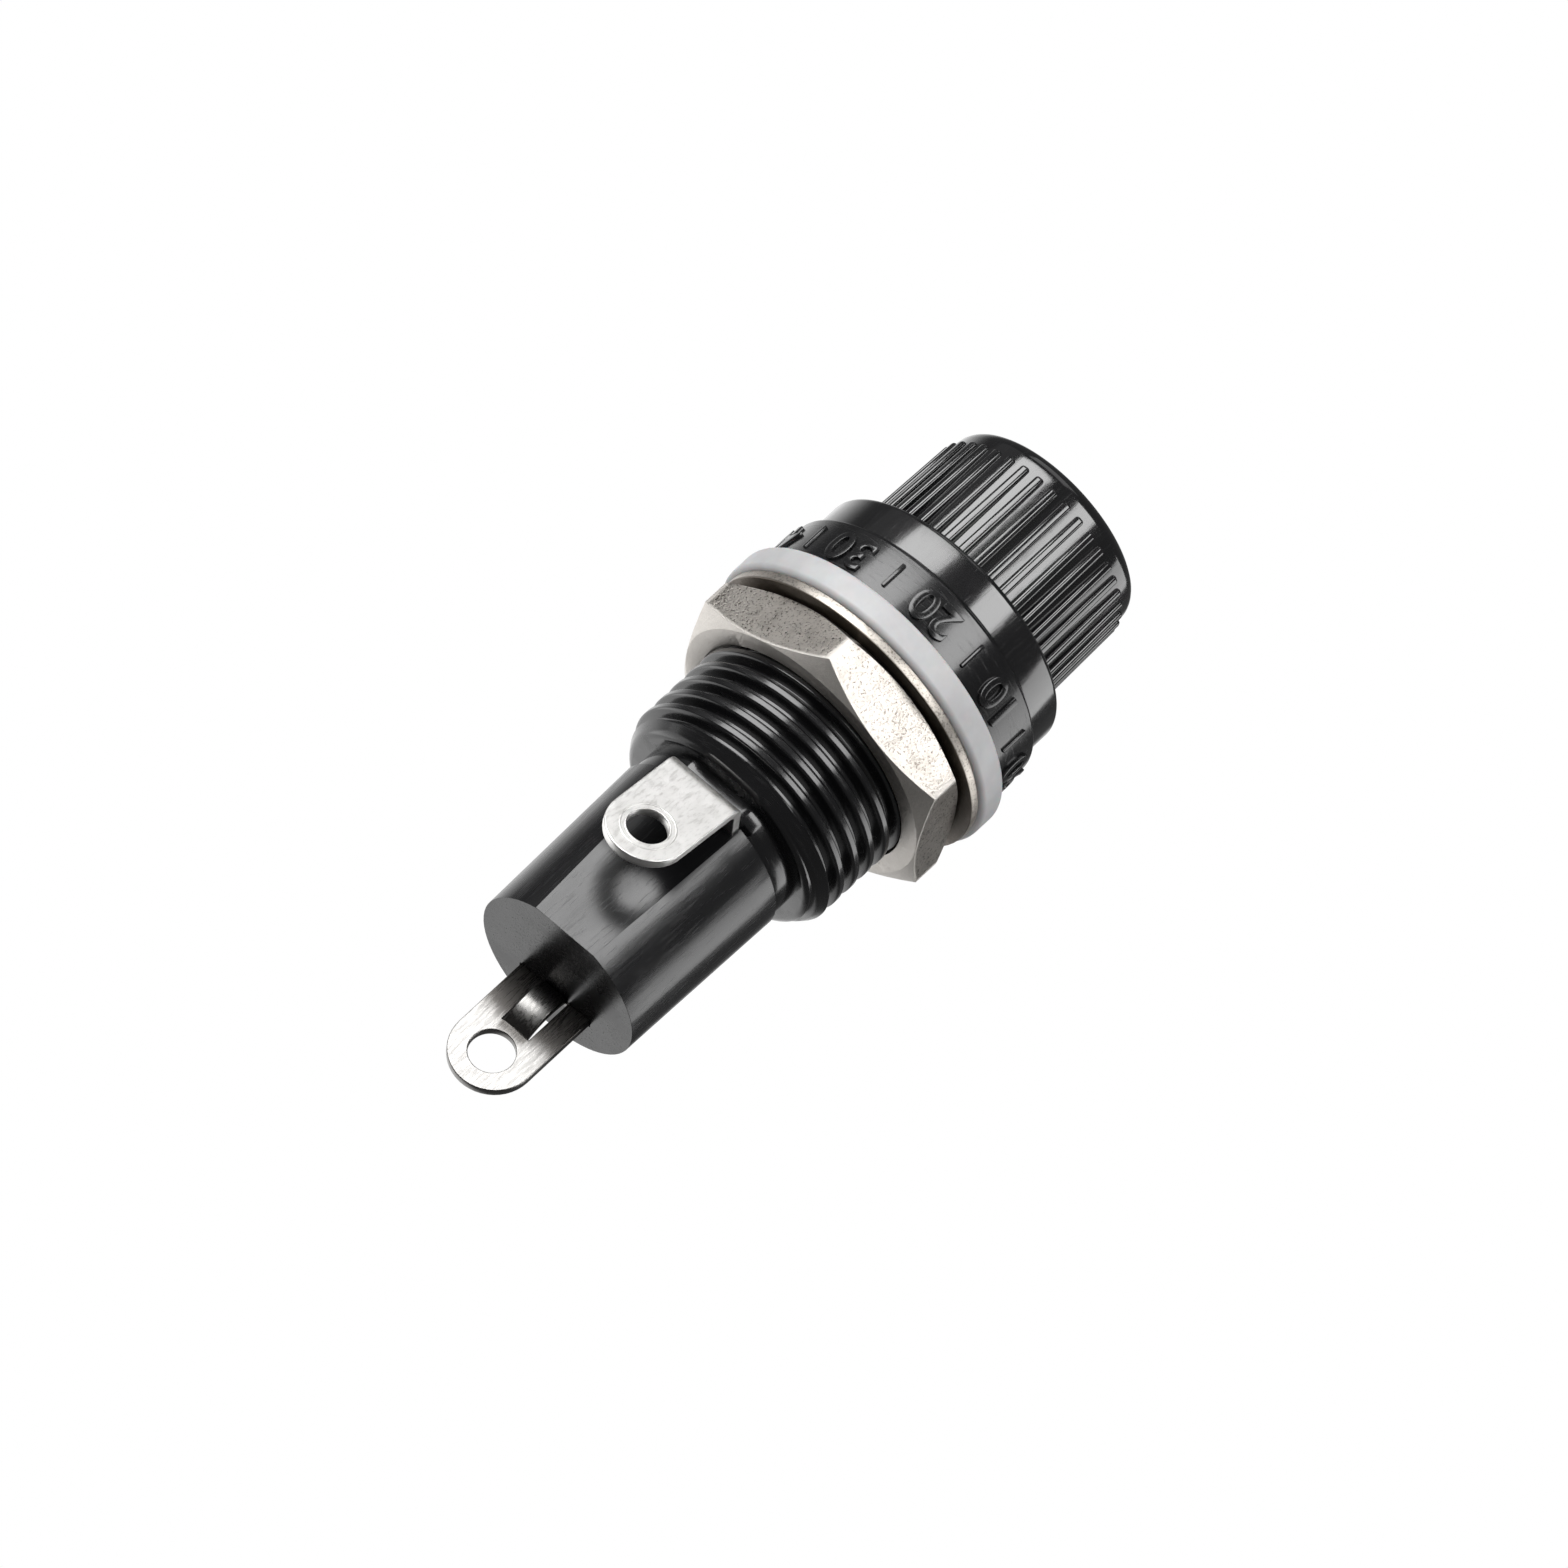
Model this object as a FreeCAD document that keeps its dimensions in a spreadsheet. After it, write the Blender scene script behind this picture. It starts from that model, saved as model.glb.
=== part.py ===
import FreeCAD, Part
import math
import os

import Sketcher

# Panel mount fuse holder for a 5 x 20 mm fuse, in millimetres.
# The axis of the holder is Z, out through the cap. The origin is on the axis, in the plane where the
# panel's front meets the gasket. +X is the side of the flat, where the side terminal comes out.
# Every sub-part is drawn with height 0 at the end face of the tail, and its Placement brings it here.

doc = FreeCAD.newDocument("fuse_holder")
sheet = doc.addObject("Spreadsheet::Sheet", "size")

SIZES = [
    # heights along the axis
    ("tail_length", 9.4, "rear shell, from its end face to the seam"),
    ("neck_length", 1.2, "plain neck between the seam and the thread"),
    ("leadin_length", 0.9, "cone at the start of the thread"),
    ("barrel_length", 11.6, "from the seam to the underside of the collar"),
    ("collar_height", 2.75, "collar that stays in front of the panel"),
    ("gasket_thickness", 1.5, "free thickness"),
    ("washer_thickness", 0.5, "sheet of the washer"),
    ("nut_thickness", 2.8, "over both faces"),
    ("cap_ring_height", 2.05, "smooth ring of the cap"),
    ("knurl_length", 5.8, "ridged stretch of the knob"),
    ("rim_height", 1.2, "smooth rim above the ridges"),
    # radii of the housing
    ("neck_radius", 4.5, "neck, and the tail at its end face"),
    ("tail_draft", 0.17, "how much wider the tail is at the seam"),
    ("leadin_depth", 0.65, "from the thread's crest to the start of the cone"),
    ("thread_radius", 6.0, "crest of the M12 thread"),
    ("thread_pitch", 1.0, "from crest to crest"),
    ("thread_depth", 0.55, "from crest to root"),
    ("thread_root_flat", 0.15, "width of the groove's floor"),
    ("thread_flank_run", 0.3, "each flank's width along the axis, over the depth"),
    ("thread_gap", 0.1, "between the nut's thread and the barrel's"),
    ("thread_tip_gap", 0.17, "between the nut's crests and the barrel's roots"),
    ("thread_over", 0.1, "how far the groove's cutter runs out past the crest"),
    ("nut_lead", 1, "turns that the nut's groove runs past each of its faces"),
    ("collar_step", 1.35, "how far the collar stands out past the thread"),
    ("collar_edge", 0.2, "chamfer of the collar"),
    ("flat_depth", 0.35, "how deep the flat is cut into the neck and the tail"),
    # bores and clearances
    ("fit_gap", 0.03, "around a piece that is pressed or trapped"),
    ("running_gap", 0.05, "around a piece that turns or slides"),
    ("seat_gap", 0.02, "under a face that is screwed down"),
    ("barrel_wall", 0.9, "from the thread's root to the bore for the cap's skirt"),
    ("clip_room", 0.3, "between the clip and the skirt around it"),
    ("skirt_length", 6.75, "from the cap's seat down"),
    ("skirt_room", 0.6, "left below the skirt"),
    ("neck_wall", 0.97, "from the neck's outside to the bore for the sleeve"),
    ("chamber_step", 0.4, "how much narrower the tail's bore is than the sleeve"),
    ("floor_thickness", 1.4, "end wall of the tail"),
    # contact sleeve and side terminal
    ("sleeve_wall", 0.25, "tube of the contact sleeve"),
    ("sleeve_below_seam", 1.4, "how far it reaches down into the tail"),
    ("side_strip", 0.5, "sheet of the side terminal"),
    ("side_width", 4.0, "width of the side terminal"),
    ("side_ring_band", 0.47, "width of the side terminal's ring, which the seam traps"),
    ("side_reach", 5.45, "from the axis to the start of the bend"),
    ("side_bend", 0.4, "inner radius of the bend"),
    ("side_tilt", 14, "degrees that the lug leans out from the axis"),
    ("side_lug_length", 3.63, "from the bend to the hole"),
    ("side_hole", 1.0, "radius"),
    ("slot_gap", 0.05, "round a strip where it passes a wall"),
    ("neck_notch", 0.35, "room in the neck over the side terminal"),
    ("neck_notch_side", 0.5, "the notch's width past the strip"),
    # end terminal
    ("end_strip", 0.45, "sheet of the end terminal"),
    ("end_width", 4.2, "width of the end terminal"),
    ("end_offset", 1.5, "from the axis to the face that looks to the flat's side"),
    ("end_reach", 6.2, "from the tail's end face to the tip"),
    ("end_hole", 1.1, "radius"),
    ("end_hole_height", 4.2, "from the tail's end face to the hole"),
    ("end_foot", 2.2, "the foot's reach past the axis, on the floor of the tail"),
    ("tongue_width", 1.4, "across the tongue"),
    ("tongue_slit", 0.1, "each side of the tongue"),
    ("tongue_length", 2.6, "from its root to its free end"),
    ("tongue_rise", 0.35, "how far its free end stands out"),
    ("tongue_bow", 0.35, "how far it bows past its chord"),
    ("tongue_gap", 0.05, "between the free end and the tail's end face"),
    # spring and plunger
    ("wire_radius", 0.2, "of the contact spring"),
    ("spring_inset", 0.9, "from the tail's bore to the middle of the wire"),
    ("spring_height", 3.75, "free height"),
    ("spring_turns", 4, "count"),
    ("plunger_gap", 0.1, "round its flange"),
    ("plunger_flange_height", 0.5, "thickness of its flange"),
    ("plunger_step", 0.8, "how far the flange stands out"),
    ("plunger_length", 5.3, "above its flange"),
    ("plunger_edge", 0.4, "chamfer of its nose"),
    # gasket, washer and nut
    ("gasket_gap", 0.1, "round the thread"),
    ("gasket_band", 1.9, "width of the ring"),
    ("gasket_edge", 0.3, "chamfer of its rim"),
    ("washer_gap", 0.2, "round the thread"),
    ("washer_band", 1.55, "width of the ring"),
    ("nut_wall", 1.0, "from the thread's crest to a flat"),
    ("nut_angle", 2.0, "degrees from +X to a corner, as it is done up"),
    ("nut_chamfer_angle", 30, "degrees"),
    ("nut_bore_edge", 0.45, "countersink at both ends of its thread"),
    ("nut_top_chamfer", 0.25, "how much closer its circle lies on the panel's side"),
    # cap
    ("cap_ring_step", 0.4, "how much smaller the ring is than the collar"),
    ("cap_ring_edge", 0.25, "chamfer of the ring"),
    ("knob_step", 1.17, "from the ring to the ridge tops"),
    ("knob_draft", 0.16, "how much smaller the ridge tops are at the rim"),
    ("ridge_depth", 0.17, "depth of the grooves at the rim"),
    ("ridge_count", 40, "count"),
    ("groove_width", 0.4, "at its floor"),
    ("groove_flare", 0.06, "each side, per 0.85 of height"),
    ("rim_step", 0.05, "how much smaller the rim is than the grooves' floor"),
    ("rim_edge", 0.75, "rounding of the rim"),
    ("roof_thickness", 2.0, "of the knob, over the fuse clip"),
    # fuse clip and its rivet
    ("fuse_radius", 2.6, "end cap of the fuse that the clip is made for"),
    ("grip_gap", 0.05, "between the fuse and the rib, before the fingers are set"),
    ("clip_wall", 0.25, "sheet of the clip"),
    ("clip_length", 17.4, "over all"),
    ("clip_slot", 1.0, "between two fingers"),
    ("clip_root", 1.9, "length above the slots"),
    ("clip_fingers", 4, "count"),
    ("rib_drop", 3.0, "from the clip's top to the rib"),
    ("rib_length", 3.2, "along the axis"),
    ("rib_slope", 0.5, "length of each slope of the rib"),
    ("rivet_radius", 0.75, "of its shank"),
    ("rivet_length", 1.3, "above the clip"),
    ("rivet_head", 1.6, "radius"),
    ("rivet_head_height", 0.35, "thickness of its head"),
]

for row, (alias, number, note) in enumerate(SIZES, 1):
    sheet.set(f"A{row}", alias)
    sheet.set(f"B{row}", str(number))
    sheet.set(f"C{row}", note)
    sheet.setAlias(f"B{row}", alias)
doc.recompute()

# Heights that several sub-parts share, worked out from the sizes
SEAM = "size.tail_length"
NECK_TOP = f"({SEAM} + size.neck_length)"
THREAD_LOW = f"({NECK_TOP} + size.leadin_length)"
COLLAR_LOW = f"({SEAM} + size.barrel_length)"
COLLAR_TOP = f"({COLLAR_LOW} + size.collar_height)"
PANEL_SEAT = f"({COLLAR_LOW} - size.gasket_thickness)"
WASHER_LOW = f"({PANEL_SEAT} - size.washer_thickness)"
NUT_LOW = f"({WASHER_LOW} - size.nut_thickness)"
CAP_SEAT = f"({COLLAR_TOP} + size.seat_gap)"
RING_TOP = f"({CAP_SEAT} + size.cap_ring_height)"
RIDGE_TOP = f"({RING_TOP} + size.knurl_length)"
KNOB_TOP = f"({RIDGE_TOP} + size.rim_height)"
ROOF = f"({KNOB_TOP} - size.roof_thickness)"
SKIRT_LOW = f"({CAP_SEAT} - size.skirt_length)"
SLEEVE_TOP = f"({SKIRT_LOW} - size.skirt_room)"
SLEEVE_LOW = f"({SEAM} - size.sleeve_below_seam)"
STRIP_LOW = f"({SEAM} - size.side_strip)"
FOOT_TOP = "(size.floor_thickness + size.end_strip)"
SPRING_TOP = f"({FOOT_TOP} + size.spring_height)"
FLANGE_TOP = f"({SPRING_TOP} + size.plunger_flange_height)"
FLANK_SLOPE = "(size.thread_flank_run / size.thread_depth)"

# Radii that follow from others
THREAD_ROOT = "(size.thread_radius - size.thread_depth)"
COLLAR_RADIUS = "(size.thread_radius + size.collar_step)"
SEAM_RADIUS = "(size.neck_radius + size.tail_draft)"
FLAT = "(size.neck_radius - size.flat_depth)"
SKIRT_BORE = f"({THREAD_ROOT} - size.barrel_wall)"
SKIRT_RADIUS = f"({SKIRT_BORE} - size.running_gap)"
SLEEVE_BORE = "(size.neck_radius - size.neck_wall)"
SLEEVE_RADIUS = f"({SLEEVE_BORE} - size.fit_gap)"
SLEEVE_INSIDE = f"({SLEEVE_RADIUS} - size.sleeve_wall)"
CHAMBER_RADIUS = f"({SLEEVE_RADIUS} - size.chamber_step)"
CLIP_RADIUS = f"({SLEEVE_INSIDE} - size.running_gap)"
SIDE_RING_RADIUS = f"({SLEEVE_BORE} + size.side_ring_band)"
GASKET_INSIDE = "(size.thread_radius + size.gasket_gap)"
GASKET_RADIUS = f"({GASKET_INSIDE} + size.gasket_band)"
WASHER_INSIDE = "(size.thread_radius + size.washer_gap)"
WASHER_RADIUS = f"({WASHER_INSIDE} + size.washer_band)"
NUT_FLAT = "(size.thread_radius + size.nut_wall)"
CAP_RING_RADIUS = f"({COLLAR_RADIUS} - size.cap_ring_step)"
KNOB_LOW_RADIUS = f"({CAP_RING_RADIUS} - size.knob_step)"
KNOB_HIGH_RADIUS = f"({KNOB_LOW_RADIUS} - size.knob_draft)"
RIDGE_ROOT = f"({KNOB_HIGH_RADIUS} - size.ridge_depth)"
RIM_RADIUS = f"({RIDGE_ROOT} - size.rim_step)"
LEADIN_RADIUS = "(size.thread_radius - size.leadin_depth)"
FLANGE_RADIUS = f"({CHAMBER_RADIUS} - size.plunger_gap)"
PLUNGER_RADIUS = f"({FLANGE_RADIUS} - size.plunger_step)"
SPRING_RADIUS = f"({CHAMBER_RADIUS} - size.spring_inset)"

# The barrel's groove starts in the air beside the neck, one pitch below the thread
GROOVE_LOW = f"({NECK_TOP} - size.thread_pitch)"
PAST = "1"  # how far a cutter runs past the face that it leaves
START, FINISH = 1, 2  # a sketch's names for the two ends of a line or an arc
WIRE_SIDES = 8


def value(expression):
    """The number that an expression on the sheet gives."""
    result = sheet.evalExpression(expression)
    return float(getattr(result, "Value", result))


def new_body(label):
    """A body whose height 0 is the tail's end face, placed in the holder's frame."""
    body = doc.addObject("PartDesign::Body", label)
    body.Label = label
    body.setExpression("Placement.Base.z", f"-{PANEL_SEAT}")
    return body


def new_sketch(body, name, role, height="0"):
    """A sketch on one of the body's own origin planes, moved along the plane's normal."""
    sketch = body.newObject("Sketcher::SketchObject", name)
    plane = next(item for item in body.Origin.OriginFeatures if item.Role == role)
    sketch.AttachmentSupport = (plane, [""])
    sketch.MapMode = "FlatFace"
    if height != "0":
        sketch.setExpression("AttachmentOffset.Base.z", height)
    return sketch


def draw_outline(sketch, points, arcs=None):
    """A closed outline. Each corner's place is bound to the sheet.

    arcs gives, for the stretch that starts at a corner, its radius and 1 where its centre lies to the left.
    """
    arcs = arcs or {}
    first = sketch.GeometryCount
    count = len(points)
    spots = [FreeCAD.Vector(value(x), value(y), 0) for x, y in points]
    starts = []
    for i, here in enumerate(spots):
        there = spots[(i + 1) % count]
        if i not in arcs:
            sketch.addGeometry(Part.LineSegment(here, there), False)
            starts.append(START)
            continue
        radius, side = value(arcs[i][0]), arcs[i][1]
        chord = there - here
        left = FreeCAD.Vector(-chord.y, chord.x, 0).normalize()
        middle = (here + there) * 0.5
        away = math.sqrt(max(radius**2 - chord.Length**2 / 4, 0))
        centre = middle + left * (side * away)
        begin, end = (here, there) if side > 0 else (there, here)
        angles = [math.atan2(p.y - centre.y, p.x - centre.x) for p in (begin, end)]
        circle = Part.Circle(centre, FreeCAD.Vector(0, 0, 1), radius)
        sketch.addGeometry(Part.ArcOfCircle(circle, *angles), False)
        starts.append(START if side > 0 else FINISH)
    for i in range(count):
        nxt = (i + 1) % count
        finish = FINISH if starts[i] == START else START
        joined = Sketcher.Constraint("Coincident", first + i, finish, first + nxt, starts[nxt])
        sketch.addConstraint(joined)
    for i, corner in enumerate(points):
        for kind, expression, now in zip(("DistanceX", "DistanceY"), corner, (spots[i].x, spots[i].y)):
            k = sketch.addConstraint(Sketcher.Constraint(kind, -1, 1, first + i, starts[i], now))
            if expression != "0":
                sketch.setExpression(f"Constraints[{k}]", expression)
    for i, (radius, side) in arcs.items():
        k = sketch.addConstraint(Sketcher.Constraint("Radius", first + i, value(radius)))
        sketch.setExpression(f"Constraints[{k}]", radius)


def draw_circle(sketch, radius, x="0", y="0"):
    """A circle whose centre and radius are bound to the sheet."""
    centre = FreeCAD.Vector(value(x), value(y), 0)
    g = sketch.addGeometry(Part.Circle(centre, FreeCAD.Vector(0, 0, 1), value(radius)), False)
    k = sketch.addConstraint(Sketcher.Constraint("Radius", g, value(radius)))
    sketch.setExpression(f"Constraints[{k}]", radius)
    for kind, expression, now in (("DistanceX", x, centre.x), ("DistanceY", y, centre.y)):
        k = sketch.addConstraint(Sketcher.Constraint(kind, -1, 1, g, 3, now))
        if expression != "0":
            sketch.setExpression(f"Constraints[{k}]", expression)


def draw_box(sketch, low_x, high_x, low_y, high_y):
    """A rectangle between four expressions."""
    draw_outline(sketch, [(low_x, low_y), (high_x, low_y), (high_x, high_y), (low_x, high_y)])


def revolve(body, name, points, cut=False):
    """Turns an outline of (radius, height) corners about the axis, to add to the body or to cut it."""
    sketch = new_sketch(body, name + "_outline", "XZ_Plane")
    draw_outline(sketch, points)
    feature = body.newObject("PartDesign::Groove" if cut else "PartDesign::Revolution", name)
    feature.Profile = sketch
    feature.ReferenceAxis = (sketch, ["V_Axis"])
    feature.Angle = 360
    sketch.Visibility = False
    return feature


def pad(body, name, sketch, length, both_sides=False, reverse=False):
    """Extrudes a sketch along its normal."""
    feature = body.newObject("PartDesign::Pad", name)
    feature.Profile = sketch
    feature.setExpression("Length", length)
    feature.Midplane = both_sides
    feature.Reversed = reverse
    return feature


def pocket(body, name, sketch, length, both_sides=False, along_normal=True):
    """Cuts a sketch's outline out of the body, and stops the script if nothing was cut."""
    before = body.Tip
    feature = body.newObject("PartDesign::Pocket", name)
    feature.Profile = sketch
    feature.setExpression("Length", length)
    feature.Midplane = both_sides
    feature.Reversed = along_normal
    doc.recompute()
    if not feature.Shape.Volume < before.Shape.Volume - 1e-6:
        raise RuntimeError(f"{name} cuts nothing")
    return feature


def pattern(body, name, feature, count):
    """Repeats a feature all round the axis."""
    doc.recompute()
    around = body.newObject("PartDesign::PolarPattern", name)
    around.Originals = [feature]
    axis = next(item for item in body.Origin.OriginFeatures if item.Role == "Z_Axis")
    around.Axis = (axis, [""])
    around.Angle = 360
    around.setExpression("Occurrences", count)
    body.Tip = around
    return around


def round_edges(feature, radius, height):
    """The names of a feature's circular edges of this radius at this height."""
    names = []
    for i, edge in enumerate(feature.Shape.Edges, 1):
        curve = edge.Curve
        if not isinstance(curve, Part.Circle):
            continue
        if abs(curve.Radius - value(radius)) < 1e-4 and abs(curve.Center.z - value(height)) < 1e-4:
            names.append(f"Edge{i}")
    return names


def soften(body, name, edges, radius, chamfer=False):
    """Rounds or chamfers edges of the body's last feature, given as (radius, height) pairs."""
    doc.recompute()
    base = body.Tip
    names = [edge for where in edges for edge in round_edges(base, *where)]
    if not names:
        raise RuntimeError(f"{name} finds no edge")
    feature = body.newObject("PartDesign::Chamfer" if chamfer else "PartDesign::Fillet", name)
    feature.Base = (base, names)
    feature.setExpression("Size" if chamfer else "Radius", radius)
    return feature


def helical_groove(body, name, low, inner, outer, floor, pitch, height):
    """Cuts a right-hand thread's groove, narrow at its deep side and wide at the side where it opens.

    low is the height of the groove's middle where it starts, inner and outer are the radii between which it
    is cut, and floor is the pair of widths there.
    """
    doc.recompute()
    before = body.Tip
    sketch = new_sketch(body, name + "_profile", "XZ_Plane")
    draw_outline(
        sketch,
        [
            (inner, f"{low} - {floor[0]} / 2"),
            (outer, f"{low} - {floor[1]} / 2"),
            (outer, f"{low} + {floor[1]} / 2"),
            (inner, f"{low} + {floor[0]} / 2"),
        ],
    )
    feature = body.newObject("PartDesign::SubtractiveHelix", name)
    feature.Profile = sketch
    feature.ReferenceAxis = (sketch, ["V_Axis"])
    feature.Mode = "pitch-height-angle"
    feature.setExpression("Pitch", pitch)
    feature.setExpression("Height", height)
    feature.Angle = 0
    feature.LeftHanded = False
    doc.recompute()
    if not feature.Shape.Volume < before.Shape.Volume - 1e-6:
        raise RuntimeError(f"{name} cuts nothing")
    return feature


def cut_tail_flat(body, name, low, high):
    """Cuts the flat that runs along the tail and the neck."""
    sketch = new_sketch(body, name + "_outline", "XY_Plane", low)
    draw_box(sketch, FLAT, f"{FLAT} + {SEAM_RADIUS}", f"-{SEAM_RADIUS}", SEAM_RADIUS)
    return pocket(body, name, sketch, f"{high} - {low}")


def make_threaded_body():
    """Front half of the housing: neck, threaded barrel and collar, bored for the cap and the sleeve."""
    body = new_body("threaded_body")
    revolve(
        body,
        "barrel",
        [
            (SLEEVE_BORE, SEAM),
            ("size.neck_radius", SEAM),
            ("size.neck_radius", NECK_TOP),
            (LEADIN_RADIUS, NECK_TOP),
            ("size.thread_radius", THREAD_LOW),
            ("size.thread_radius", COLLAR_LOW),
            (COLLAR_RADIUS, COLLAR_LOW),
            (COLLAR_RADIUS, COLLAR_TOP),
            (SKIRT_BORE, COLLAR_TOP),
            (SKIRT_BORE, SLEEVE_TOP),
            (SLEEVE_BORE, SLEEVE_TOP),
        ],
    )
    soften(
        body,
        "collar_chamfer",
        [(COLLAR_RADIUS, COLLAR_LOW), (COLLAR_RADIUS, COLLAR_TOP)],
        "size.collar_edge",
        chamfer=True,
    )
    doc.recompute()
    cut_tail_flat(body, "neck_flat", SEAM, NECK_TOP)
    notch = new_sketch(body, "notch_outline", "XY_Plane", SEAM)
    half = "(size.side_width / 2 + size.neck_notch_side)"
    draw_box(notch, f"{SLEEVE_BORE} + size.sleeve_wall", f"{SEAM_RADIUS} + {PAST}", f"-{half}", half)
    pocket(body, "terminal_notch", notch, "size.neck_notch")
    floor = "size.thread_root_flat"
    top = f"({floor} + 2 * {FLANK_SLOPE} * (size.thread_depth + size.thread_over))"
    helical_groove(
        body,
        "thread",
        GROOVE_LOW,
        THREAD_ROOT,
        "size.thread_radius + size.thread_over",
        (floor, top),
        "size.thread_pitch",
        f"{COLLAR_LOW} - size.thread_pitch / 2 - {top} / 2 - {GROOVE_LOW}",
    )
    return body


def make_rear_shell():
    """Rear half of the housing: a tapered cup with a flat, and a way out for each terminal."""
    body = new_body("rear_shell")
    seat = f"({SIDE_RING_RADIUS} + size.slot_gap)"
    revolve(
        body,
        "cup",
        [
            ("0", "0"),
            ("size.neck_radius", "0"),
            (SEAM_RADIUS, SEAM),
            (seat, SEAM),
            (seat, STRIP_LOW),
            (SLEEVE_BORE, STRIP_LOW),
            (SLEEVE_BORE, SLEEVE_LOW),
            (CHAMBER_RADIUS, SLEEVE_LOW),
            (CHAMBER_RADIUS, "size.floor_thickness"),
            ("0", "size.floor_thickness"),
        ],
    )
    doc.recompute()
    cut_tail_flat(body, "tail_flat", "0", SEAM)
    side = new_sketch(body, "side_slot_outline", "XY_Plane", STRIP_LOW)
    half = "(size.side_width / 2 + size.slot_gap)"
    draw_box(side, SLEEVE_BORE, f"{SEAM_RADIUS} + {PAST}", f"-{half}", half)
    pocket(body, "side_slot", side, f"size.side_strip + {PAST}")
    end = new_sketch(body, "end_slot_outline", "XY_Plane", f"-{PAST}")
    half = "(size.end_width / 2 + size.slot_gap)"
    draw_box(
        end,
        "-(size.end_offset + size.end_strip + size.slot_gap)",
        "-(size.end_offset - size.slot_gap)",
        f"-{half}",
        half,
    )
    pocket(body, "end_slot", end, f"size.floor_thickness + 2 * {PAST}")
    return body


def make_gasket():
    """Soft ring between the collar and the panel."""
    body = new_body("gasket")
    revolve(
        body,
        "ring",
        [
            (GASKET_INSIDE, PANEL_SEAT),
            (GASKET_RADIUS, PANEL_SEAT),
            (GASKET_RADIUS, COLLAR_LOW),
            (GASKET_INSIDE, COLLAR_LOW),
        ],
    )
    soften(
        body,
        "rim_chamfer",
        [(GASKET_RADIUS, PANEL_SEAT), (GASKET_RADIUS, COLLAR_LOW)],
        "size.gasket_edge",
        chamfer=True,
    )
    return body


def make_flat_washer():
    """Thin metal ring between the nut and the panel's back."""
    body = new_body("flat_washer")
    revolve(
        body,
        "ring",
        [
            (WASHER_INSIDE, WASHER_LOW),
            (WASHER_RADIUS, WASHER_LOW),
            (WASHER_RADIUS, PANEL_SEAT),
            (WASHER_INSIDE, PANEL_SEAT),
        ],
    )
    return body


def make_hex_nut():
    """Hexagon nut with both faces chamfered, and a thread that meshes with the barrel's."""
    body = new_body("hex_nut")
    sketch = new_sketch(body, "hexagon", "XY_Plane", NUT_LOW)
    corner = f"{NUT_FLAT} / cos(30 deg)"
    turns = [f"(size.nut_angle + {60 * k}) * 1 deg" for k in range(6)]
    draw_outline(sketch, [(f"{corner} * cos({a})", f"{corner} * sin({a})") for a in turns])
    pad(body, "block", sketch, "size.nut_thickness")
    doc.recompute()
    slope = "tan(size.nut_chamfer_angle * 1 deg)"
    wide = f"({corner} + {PAST})"
    low_drop = f"({wide} - {NUT_FLAT}) * {slope}"
    low_end = f"{NUT_LOW} + {low_drop}"
    revolve(body, "low_chamfer", [(NUT_FLAT, NUT_LOW), (wide, NUT_LOW), (wide, low_end)], cut=True)
    top_circle = f"({NUT_FLAT} - size.nut_top_chamfer)"
    high_drop = f"({wide} - {top_circle}) * {slope}"
    revolve(
        body,
        "high_chamfer",
        [(top_circle, WASHER_LOW), (wide, f"{WASHER_LOW} - {high_drop}"), (wide, WASHER_LOW)],
        cut=True,
    )
    # The barrel's ridge is widest at its root, and the nut's groove clears it by thread_gap all round
    crest = "size.thread_pitch - size.thread_root_flat - 2 * size.thread_flank_run"
    stretch = f"sqrt(1 + {FLANK_SLOPE} * {FLANK_SLOPE})"
    major = "(size.thread_radius + size.thread_gap)"
    minor = f"({THREAD_ROOT} + size.thread_tip_gap)"
    bore = new_sketch(body, "bore_outline", "XY_Plane", NUT_LOW)
    draw_circle(bore, minor)
    pocket(body, "bore", bore, "size.nut_thickness")
    sink = f"({minor} + size.nut_bore_edge)"
    low_sink = f"{NUT_LOW} + size.nut_bore_edge"
    high_sink = f"{WASHER_LOW} - size.nut_bore_edge"
    revolve(body, "low_sink", [("0", NUT_LOW), (sink, NUT_LOW), (minor, low_sink), ("0", low_sink)], cut=True)
    revolve(
        body,
        "high_sink",
        [("0", high_sink), (minor, high_sink), (sink, WASHER_LOW), ("0", WASHER_LOW)],
        cut=True,
    )
    side = f"2 * size.thread_gap * {stretch}"
    deep = f"({crest} + {side} - 2 * {FLANK_SLOPE} * size.thread_gap)"
    mouth = f"({crest} + {side} + 2 * size.thread_flank_run)"
    turns_up = f"floor(({NUT_LOW} - {GROOVE_LOW}) / size.thread_pitch)"
    start = f"({GROOVE_LOW} + ({turns_up} - 1 / 2 - size.nut_lead) * size.thread_pitch)"
    helical_groove(
        body,
        "thread",
        start,
        THREAD_ROOT,
        major,
        (mouth, deep),
        "size.thread_pitch",
        "size.nut_thickness + 2 * (size.nut_lead + 1) * size.thread_pitch",
    )
    return body


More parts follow.
